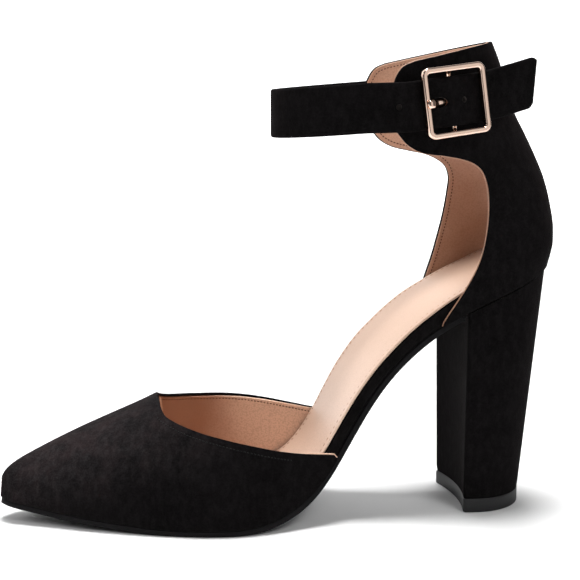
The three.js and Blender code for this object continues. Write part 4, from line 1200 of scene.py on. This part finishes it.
class PUMP_OT_vamp(bpy.types.Operator):
    """Builds the vamp: its suede, its lining and the stitches along its topline"""

    bl_idname = "pump.make_vamp"
    bl_label = "Make vamp"

    def execute(self, context):
        sheet = vamp_sheet()
        suede_wall = VAMP_WALL - LINING_WALL
        points, faces = sheet.wall(0, -suede_wall)
        add_piece("vamp_suede", points, faces, [suede()], "suede", ["vamp"], 1.2)
        back = vamp_lining_back(sheet)
        points, faces = sheet.wall(-suede_wall - LINING_GAP, -VAMP_WALL, LINING_EDGE_ROUND, back)
        add_piece("vamp_lining", points, faces, [lining()], "sock_leather", ["vamp"], 1.2)
        pitch, size, inset, lining_inset = stitch_sizes()

        def on_topline(line):
            wing = np.where(line[:, 1] < 0, WING_END["lateral"], WING_END["medial"])
            above = line[:, 2] - sole_height(line[:, 0])
            before = (line[:, 0] < wing - 5) & (above > 7)
            return (line[:, 0] > THROAT_ALONG - 3) & before

        def on_near_half(line):
            seen = line[:, 0] < mix(THROAT_ALONG, WING_END["lateral"], 0.7)
            return on_topline(line) & (seen | (line[:, 1] > 0))

        row, normal = edge_row(sheet, on_near_half, inset, THREAD_LIFT)
        body = beads(row, normal, pitch, size, SUEDE_THREAD)
        add_piece("vamp_stitches", *body, [black_thread()], "suede")
        row, normal = edge_row(sheet, on_topline, lining_inset, -VAMP_WALL - THREAD_LIFT)
        body = beads(row, normal, pitch, size, LINING_THREAD)
        add_piece("vamp_lining_stitches", *body, [brown_thread()], "sock_leather")
        return {"FINISHED"}


class PUMP_OT_quarter(bpy.types.Operator):
    """Builds the quarter with its cuff: its suede, its lining and the lining's stitches"""

    bl_idname = "pump.make_quarter"
    bl_label = "Make quarter"

    def execute(self, context):
        sheet = quarter_sheet()
        suede_wall = QUARTER_WALL - LINING_WALL
        points, faces = sheet.wall(0, -suede_wall)
        add_piece("quarter_suede", points, faces, [suede()], "suede", ["quarter"], 1.2)
        near = sheet.points[sheet.edge][:, 1:2] < 0
        back = np.where(near, *(QUARTER_LINING_BACK[side] for side in SIDES))
        points, faces = sheet.wall(-suede_wall - LINING_GAP, -QUARTER_WALL, LINING_EDGE_ROUND, back)
        add_piece("quarter_lining", points, faces, [lining()], "sock_leather", ["quarter"], 1.2)
        pitch, size, _, lining_inset = stitch_sizes()

        def off_seat(line):
            return line[:, 2] > quarter_low(line[:, 0]) + 4

        row, normal = edge_row(sheet, off_seat, lining_inset, -QUARTER_WALL - THREAD_LIFT)
        body = beads(row, normal, pitch, size, LINING_THREAD)
        add_piece("quarter_lining_stitches", *body, [brown_thread()], "sock_leather")
        return {"FINISHED"}


def outsole_rings():
    """Rings of the outsole from the toe to the heel's hollow breast."""
    end = BREAST_ALONG - CLEARANCE - OUTSOLE_THICKNESS / 2
    stations = bottom_stations(end, 110)
    wing = WING_END["medial"]
    waist = footbed_inset(stations) + OUTSOLE_INSET
    inset = mix(OUTSOLE_INSET, waist, smooth_step(wing - 24, wing - 2, stations))
    bow = BREAST_HOLLOW * smooth_step(end - 12, end, stations)
    lateral = inset_edge("lateral", stations, inset)
    medial = inset_edge("medial", stations, inset)
    round_by = 0.5
    edge = [round_by, OUTSOLE_THICKNESS - round_by]
    rows = []
    for level, shares in [(0, np.linspace(0, 1, 15)), (OUTSOLE_THICKNESS, np.linspace(1, 0, 15))]:
        for share in shares:
            along = mix(lateral[0], medial[0], share) + bow * (1 - (2 * share - 1) ** 2)
            sideways = mix(-lateral[1], medial[1], share)
            rim = 0 if 0 < share < 1 else round_by
            pull = np.minimum(rim, np.abs(sideways) / 2) * np.sign(sideways)
            rows.append(over_sole(along, sideways - pull, level))
        rows += [over_sole(along, sideways, step) for step in sorted(edge, reverse=level > 0)]
    return np.stack(rows, 1)


class PUMP_OT_bottom(bpy.types.Operator):
    """Builds the outsole, the suede-covered footbed and the sock with its stitches"""

    bl_idname = "pump.make_bottom"
    bl_label = "Make bottom"

    def execute(self, context):
        looks = context.scene.pump_colours
        sole = made("sole_grit", rubber_material, looks.sole, 0.06)
        add_piece("outsole_sheet", *loft(outsole_rings()), [sole], "sole_rubber", ["outsole"], 0.7)
        rings = layer(
            bottom_stations(SEAT_END), footbed_inset,
            lambda along, side: np.full_like(along, UPPER_BASE), footbed_top, FOOTBED_ROUND,
        )
        add_piece("footbed_cover", *loft(rings), [suede()], "suede", ["footbed"], 0.9)

        def sock_low(along, side):
            return footbed_top(along, side) + CLEARANCE

        def sock_high(along, side):
            return sock_low(along, side) + SOCK_THICKNESS

        def sock_inset(along):
            return footbed_inset(along) + SOCK_MARGIN

        stations = bottom_stations(SEAT_END)
        rings = layer(stations, sock_inset, sock_low, sock_high, 0.45, 26)
        add_piece("sock_cover", *loft(rings), [sock_leather()], "sock_leather", ["sock"], 0.9)
        self.sew(stations, sock_inset, sock_high)
        return {"FINISHED"}

    def sew(self, stations, inset_at, high_at):
        """A row of small stitches near each side of the sock, where it shows."""
        shown = stations[(stations > THROAT_ALONG + 8) & (stations < SEAT_END - 4)]
        rows = []
        for side in SIDES:
            along, half = inset_edge(side, shown, inset_at(shown) + SOCK_STITCH_INSET)
            rows.append(layer_point(side, along, half, 0, high_at(shown, side) + 0.05))
        up = unit(over_sole(shown, 0, 1.0) - over_sole(shown, 0, 0.0))
        sizes = SOCK_STITCH_PITCH, SOCK_STITCH_LENGTH, SOCK_THREAD
        bodies = [beads(row, up, *sizes, gap_seed=5) for row in rows]
        thread = made("sock_thread", thread_material, (0.42, 0.23, 0.15), 0.5)
        add_piece("sock_stitches", *joined(*bodies), [thread], "sock_leather")


class PUMP_OT_heel(bpy.types.Operator):
    """Builds the covered heel and its top lift"""

    bl_idname = "pump.make_heel"
    bl_label = "Make heel"

    def execute(self, context):
        looks = context.scene.pump_colours
        low, high = lift_loop(LIFT_THICKNESS + 0.06, 0.35), seat_loop()
        shares = np.concatenate([[0, 0.012], np.linspace(0.03, 0.985, 40), [1.0]])
        rings = np.stack([mix(low, high, share) for share in shares])
        full = mix(lift_loop(LIFT_THICKNESS, 0), seat_loop(), 0.02)
        rings[1] = mix(rings[1], full, 0.6)
        rings[2:] = [mix(lift_loop(LIFT_THICKNESS), high, share) for share in shares[2:]]
        add_piece("heel_cover", *loft(softened(rings, 3)), [suede()], "suede", ["heel"], 0.9)
        lift = made("lift_grit", rubber_material, looks.lift, 0.35)
        levels = [(0, 0.5), (0.15, 0.15), (0.5, 0), (LIFT_THICKNESS - 0.4, 0), (LIFT_THICKNESS, 0.25)]
        rings = softened(np.stack([lift_loop(height, inset) for height, inset in levels]), 2)
        add_piece("lift_block", *loft(rings), [lift], "lift_rubber", ["top_lift"], 0.7)
        return {"FINISHED"}


def slot_cutter(centre, half_length, half_width, depth):
    """A rounded peg across the strap at a point with its own way and out directions."""
    point, way, up, out = centre
    turns = np.linspace(0, 2 * math.pi, 28, endpoint=False)
    ring = way * (np.cos(turns) * half_length)[:, None] + up * (np.sin(turns) * half_width)[:, None]
    return loft(np.stack([point + ring - out * depth, point + ring + out * 2 * STRAP_THICKNESS]))


class PUMP_OT_strap(bpy.types.Operator):
    """Builds the ankle strap with its punched holes"""

    bl_idname = "pump.make_strap"
    bl_label = "Make strap"

    def execute(self, context):
        frames = strap_frames()
        line, way, up, out, slant, to_end = frames
        thick = STRAP_THICKNESS / 2
        corner = thick * 0.8
        wide, aside, deep = strap_profile(thick, corner)
        last = STRAP_WIDTH * 0.06 * (1 - to_end / TAIL_ROUND_SHARE) ** 2
        shrink = np.where(to_end < TAIL_ROUND_SHARE, last, 0)
        half = STRAP_WIDTH / 2 - corner - shrink
        over = half[:, None] * wide + aside
        rings = line[:, None] + up[:, None] * over[..., None] + out[:, None] * deep[:, None]
        rings += way[:, None] * (over * slant[:, None])[..., None]
        points, faces = loft(rings)
        count = len(wide)
        inner = deep < -thick * 0.97
        marks = [int(inner[k % count] and inner[(k + 1) % count]) for k in range(len(faces))]
        marks[-2:] = [0, 0]
        strap = add_piece(
            "strap_leather", points, faces, [suede(), lining(), made("punched_edge", hole_material)],
            "suede", ["ankle_strap"], 0.9, marks,
        )
        self.punch(strap, frames)
        return {"FINISHED"}

    def punch(self, strap, frames):
        """Cuts the prong's slot and the adjustment holes."""
        line, way, up, out, _, _ = frames
        radius = bpy.context.scene.pump_sizes.hole_radius / MM
        onward = (line - BUCKLE_FACE) @ ONWARD
        near = (line - BUCKLE_FACE) @ OUTWARDS > -20
        slot = PRONG_WIDTH * 0.6 + CLEARANCE
        cuts = [(place, radius, radius, HOLE_DEPTH) for place in HOLE_PLACES]
        cuts.insert(1, (PRONG_SLOT_MIDDLE, PRONG_SLOT_HALF_LENGTH, slot, STRAP_THICKNESS))
        bodies = []
        for place, half_length, half_width, depth in cuts:
            k = int(np.argmin(np.abs(onward - place) + 1e3 * ~near))
            centre = line[k], way[k], up[k], out[k]
            bodies.append(slot_cutter(centre, half_length, half_width, depth))
        edge = bpy.data.materials["punched_edge"]
        cutter = add_piece("strap_holes", *joined(*bodies), [edge], "suede")
        cut = strap.modifiers.new("holes", "BOOLEAN")
        cut.object = cutter
        cut.solver = "EXACT"
        graph = bpy.context.evaluated_depsgraph_get()
        mesh = bpy.data.meshes.new_from_object(strap.evaluated_get(graph))
        strap.modifiers.clear()
        strap.data = mesh
        bpy.data.objects.remove(cutter)


def rounded_loop(half, radius, corner_steps=10):
    """Points round a square with rounded corners, in two columns."""
    turns = np.linspace(0, math.pi / 2, corner_steps)
    points = []
    for k, (a, b) in enumerate([(1, 1), (-1, 1), (-1, -1), (1, -1)]):
        for turn in turns + k * math.pi / 2:
            x = a * (half - radius) + radius * math.cos(turn)
            points.append((x, b * (half - radius) + radius * math.sin(turn)))
    return np.array(points)


def frame_body():
    """The buckle's square ring with softly bevelled edges."""
    profile = []
    turns = np.linspace(0, math.pi / 2, 5)
    for a, b in [(0, 0), (BAR_WIDTH, 0), (BAR_WIDTH, BAR_DEPTH), (0, BAR_DEPTH)]:
        inward = BAR_BEVEL if a == 0 else -BAR_BEVEL
        down = BAR_BEVEL if b == 0 else -BAR_BEVEL
        arc = [(a + inward * (1 - math.cos(t)), b + down * (1 - math.sin(t))) for t in turns]
        profile += arc if (a == 0) == (b == 0) else arc[::-1]
    loops = []
    for inset, depth in profile:
        radius = mix(FRAME_OUTER_ROUND, FRAME_INNER_ROUND, inset / BAR_WIDTH)
        flat = rounded_loop(BUCKLE_SIZE / 2 - inset, radius)
        loops.append(at_buckle(np.column_stack([flat, np.full(len(flat), -depth)])))
    return ring_body(np.stack(loops))


def tube_body(line, radii, power, count):
    """A body swept along a line in the buckle's axes, with its own half sizes at each point."""
    way = unit(np.gradient(line, axis=0))
    across = np.array([0, 1.0, 0]) if abs(way[0, 1]) < 0.9 else np.array([1.0, 0, 0])
    up = unit(np.cross(way, across))
    turns = np.linspace(0, 2 * math.pi, count, endpoint=False)
    cos, sin = np.cos(turns), np.sin(turns)
    cos, sin = (np.sign(each) * np.abs(each) ** (2 / power) for each in (cos, sin))
    rings = line[:, None] + across * (radii[:, :1] * cos)[..., None]
    rings = rings + up[:, None] * (radii[:, 1:] * sin)[..., None]
    points, faces = loft(rings)
    return at_buckle(points), faces


def lug_body(sign):
    """A lug under the frame's side that holds the pin."""
    rail_outer = BUCKLE_SIZE / 2 - BAR_BEVEL
    middle = sign * (RAIL_INNER + rail_outer) / 2
    low = PIN_DEPTH + PIN_RADIUS
    depths = (BAR_DEPTH / 2, BAR_DEPTH, PIN_DEPTH, low, low + 0.15)
    line = np.array([[0, middle, -depth] for depth in depths])
    thick = (rail_outer - RAIL_INNER) / 2 - 0.05
    shares = np.array([[1, 1], [1, 1], [1, 1], [0.9, 0.85], [0.6, 0.6]])
    radii = shares * [thick, LUG_WIDTH / 2]
    return tube_body(line, radii, 6, 24)


def pin_body():
    """The pin across the frame, on which the prong turns."""
    half = BUCKLE_SIZE / 2 - 1
    places = np.array([-half, -half + 0.2, half - 0.2, half])
    line = np.column_stack([np.zeros(4), places, np.full(4, -PIN_DEPTH)])
    radii = np.array([[0.6, 0.6], [PIN_RADIUS, PIN_RADIUS], [PIN_RADIUS, PIN_RADIUS], [0.6, 0.6]])
    return tube_body(line, radii, 2, 20)


def prong_bodies():
    """The prong: an eye round the pin, and a shank through the strap over the toe-side bar."""
    rest = CLEARANCE + 0.05 + PRONG_THICKNESS / 2
    tip = BUCKLE_SIZE / 2 - 0.3
    bend = RAIL_INNER - CLEARANCE
    low = LOOP_RADIUS - PIN_DEPTH + CLEARANCE - PRONG_THICKNESS * 1.2
    knots = [(-0.6, 0, low), (-3, 0, low + 0.1), (-bend * 0.66, 0, low + 0.3)]
    knots += [(-bend * 0.8, 0, mix(low, rest, 0.66)), (-bend, 0, rest), (-tip, 0, rest)]
    line = through(knots, 8)
    share = np.linspace(0, 1, len(line))
    taper = 1 + 0.2 * smooth_step(0.55, 0.8, share)
    end = np.sqrt(np.clip(1 - ((share - 0.92) / 0.08).clip(0, 1) ** 2, 0.02, 1))
    radii = np.stack([PRONG_WIDTH / 2 * taper * end, PRONG_THICKNESS / 2 * (1 - 0.15 * share) * end], -1)
    shank = tube_body(line, radii, 2.8, 18)
    turns = np.linspace(0, 2 * math.pi, 40, endpoint=False)
    middle = (LOOP_RADIUS + PIN_RADIUS + CLEARANCE) / 2
    thick = (LOOP_RADIUS - PIN_RADIUS - CLEARANCE) / 2
    section = [(PRONG_WIDTH / 2 * np.sign(math.cos(t)) * abs(math.cos(t)) ** 0.6,
                thick * np.sign(math.sin(t)) * abs(math.sin(t)) ** 0.6)
               for t in np.linspace(0, 2 * math.pi, 12, endpoint=False)]
    rings = []
    for turn in turns:
        onward, high = math.cos(turn), math.sin(turn)
        eye = [(onward * (middle + r), y, -PIN_DEPTH + high * (middle + r)) for y, r in section]
        rings.append(at_buckle(eye))
    return shank, ring_body(np.stack(rings))


class PUMP_OT_buckle(bpy.types.Operator):
    """Builds the buckle's frame and prong, and dresses the tab that holds it"""

    bl_idname = "pump.make_buckle"
    bl_label = "Make buckle"

    def execute(self, context):
        metal = made("rose_gold", metal_material)
        body = joined(frame_body(), lug_body(-1), lug_body(1), pin_body())
        add_piece("buckle_ring", *body, [metal], "buckle_metal", ["buckle_frame"], 1.0)
        body = joined(*prong_bodies())
        add_piece("buckle_tongue", *body, [metal], "buckle_metal", ["buckle_prong"], 1.0)
        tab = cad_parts["buckle_tab"]
        tab.data.materials.clear()
        tab.data.materials.append(suede())
        soft = tab.modifiers.new("soft edges", "BEVEL")
        soft.width = 0.25 * MM
        soft.segments = 3
        soft.limit_method = "ANGLE"
        soft.angle_limit = math.radians(40)
        return {"FINISHED"}


def area_light(name, place, target, size, power):
    """A rectangular lamp that looks at a target."""
    light = bpy.data.lights.new(name, "AREA")
    light.shape = "RECTANGLE"
    light.size, light.size_y = size
    light.energy = power
    lamp = bpy.data.objects.new(name, light)
    lamp.location = place
    lamp.rotation_euler = (Vector(target) - Vector(place)).to_track_quat("-Z", "Y").to_euler()
    bpy.context.scene.collection.objects.link(lamp)


class PUMP_OT_stage(bpy.types.Operator):
    """Sets up the pale floor, the studio lights and the photograph's camera"""

    bl_idname = "pump.make_stage"
    bl_label = "Make stage"

    def execute(self, context):
        self.floor()
        self.lights()
        self.camera()
        return {"FINISHED"}

    def floor(self):
        looks = bpy.context.scene.pump_colours
        back, reach, radius = 1.6, 3.0, 0.7
        turns = np.linspace(0, math.pi / 2, 16)
        front, height = -2.2, 3.2
        curve = [(back + radius * math.sin(t), radius * (1 - math.cos(t))) for t in turns]
        profile = [(front, 0.0), *curve, (back + radius, height)]
        points = [(x, y, z) for y, z in profile for x in (-reach, reach)]
        index = np.arange(len(points)).reshape(-1, 2)
        mesh = bpy.data.meshes.new("studio_floor")
        mesh.from_pydata(points, [], grid_quads(index)[:, ::-1].tolist())
        mesh.shade_smooth()
        shader = Shader("studio_floor")
        drift = shader.noise(2.0, 2.0, 0.5)
        base = shader.blend(drift, colour(looks.floor), colour(looks.floor, 0.985))
        far = shader.axes()[1].rising(0.5, 1.3)
        glow = shader.blend(far, (0, 0, 0, 1), (1, 1, 1, 1))
        mesh.materials.append(shader.finish(
            base_color=base, roughness=0.8, specular_ior_level=0.15, emission_color=glow,
            emission_strength=1.0,
        ))
        floor = bpy.data.objects.new("studio_floor", mesh)
        bpy.context.scene.collection.objects.link(floor)
        floor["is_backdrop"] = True

    def lights(self):
        scene = bpy.context.scene
        world = bpy.data.worlds.new("studio")
        world.use_nodes = True
        background = world.node_tree.nodes["Background"]
        background.inputs[0].default_value = (1.0, 1.0, 1.0, 1)
        background.inputs[1].default_value = 0.13
        scene.world = world
        area_light("key", (0.5, -1.15, 1.25), (0, 0, 0.08), (0.5, 0.5), 7.5)
        area_light("top", (0.02, 0.12, 1.5), (0, 0, 0.05), (0.5, 0.45), 33.0)
        area_light("buckle fill", (1.15, -1.25, 0.25), (0.06, -0.04, 0.16), (0.7, 0.9), 1.2)
        area_light("toe", (-1.3, -0.3, 0.9), (-0.08, 0, 0.02), (0.5, 0.5), 3.0)
        scene.view_settings.view_transform = "Standard"

    def camera(self):
        data = bpy.data.cameras.new("photo_camera")
        data.sensor_width = SENSOR_WIDTH
        data.lens = SENSOR_WIDTH * FOCAL_PIXELS / FRAME_PIXELS
        data.clip_start = 0.01
        camera = bpy.data.objects.new("photo_camera", data)
        away = CAMERA_DISTANCE * np.array([-math.sin(CAMERA_TURN), -math.cos(CAMERA_TURN), 0])
        place = away + [CAMERA_AXIS_ALONG, 0, CAMERA_HEIGHT] - ORIGIN
        camera.location = place * MM
        camera.rotation_euler = (math.pi / 2 - CAMERA_PITCH, 0, -CAMERA_TURN)
        bpy.context.scene.collection.objects.link(camera)
        bpy.context.scene.camera = camera


class PUMP_PT_pieces(bpy.types.Panel):
    """Lists what can be made"""

    bl_label = "Ankle strap pump"
    bl_idname = "PUMP_PT_pieces"
    bl_space_type = "VIEW_3D"
    bl_region_type = "UI"
    bl_category = "Pump"

    def draw(self, context):
        for operator in OPERATORS:
            self.layout.operator(operator.bl_idname)
        for group in (context.scene.pump_colours, context.scene.pump_sizes):
            for key in group.__annotations__:
                self.layout.prop(group, key)


OPERATORS = (
    PUMP_OT_stage, PUMP_OT_bottom, PUMP_OT_vamp, PUMP_OT_quarter, PUMP_OT_heel, PUMP_OT_strap,
    PUMP_OT_buckle,
)
CLASSES = (PumpColours, PumpSizes, *OPERATORS, PUMP_PT_pieces)


def register():
    for each in CLASSES:
        bpy.utils.register_class(each)
    bpy.types.Scene.pump_colours = bpy.props.PointerProperty(type=PumpColours)
    bpy.types.Scene.pump_sizes = bpy.props.PointerProperty(type=PumpSizes)


def unregister():
    del bpy.types.Scene.pump_colours
    del bpy.types.Scene.pump_sizes
    for each in reversed(CLASSES):
        bpy.utils.unregister_class(each)


def main():
    """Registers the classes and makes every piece."""
    register()
    bpy.ops.pump.make_stage()
    bpy.ops.pump.make_bottom()
    bpy.ops.pump.make_vamp()
    bpy.ops.pump.make_quarter()
    bpy.ops.pump.make_heel()
    bpy.ops.pump.make_strap()
    bpy.ops.pump.make_buckle()
    boxes = {"cad": CAD_BOX, "visual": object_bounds()}
    plain = {name: [list(corner) for corner in box] for name, box in boxes.items()}


if __name__ == "__main__":
    main()
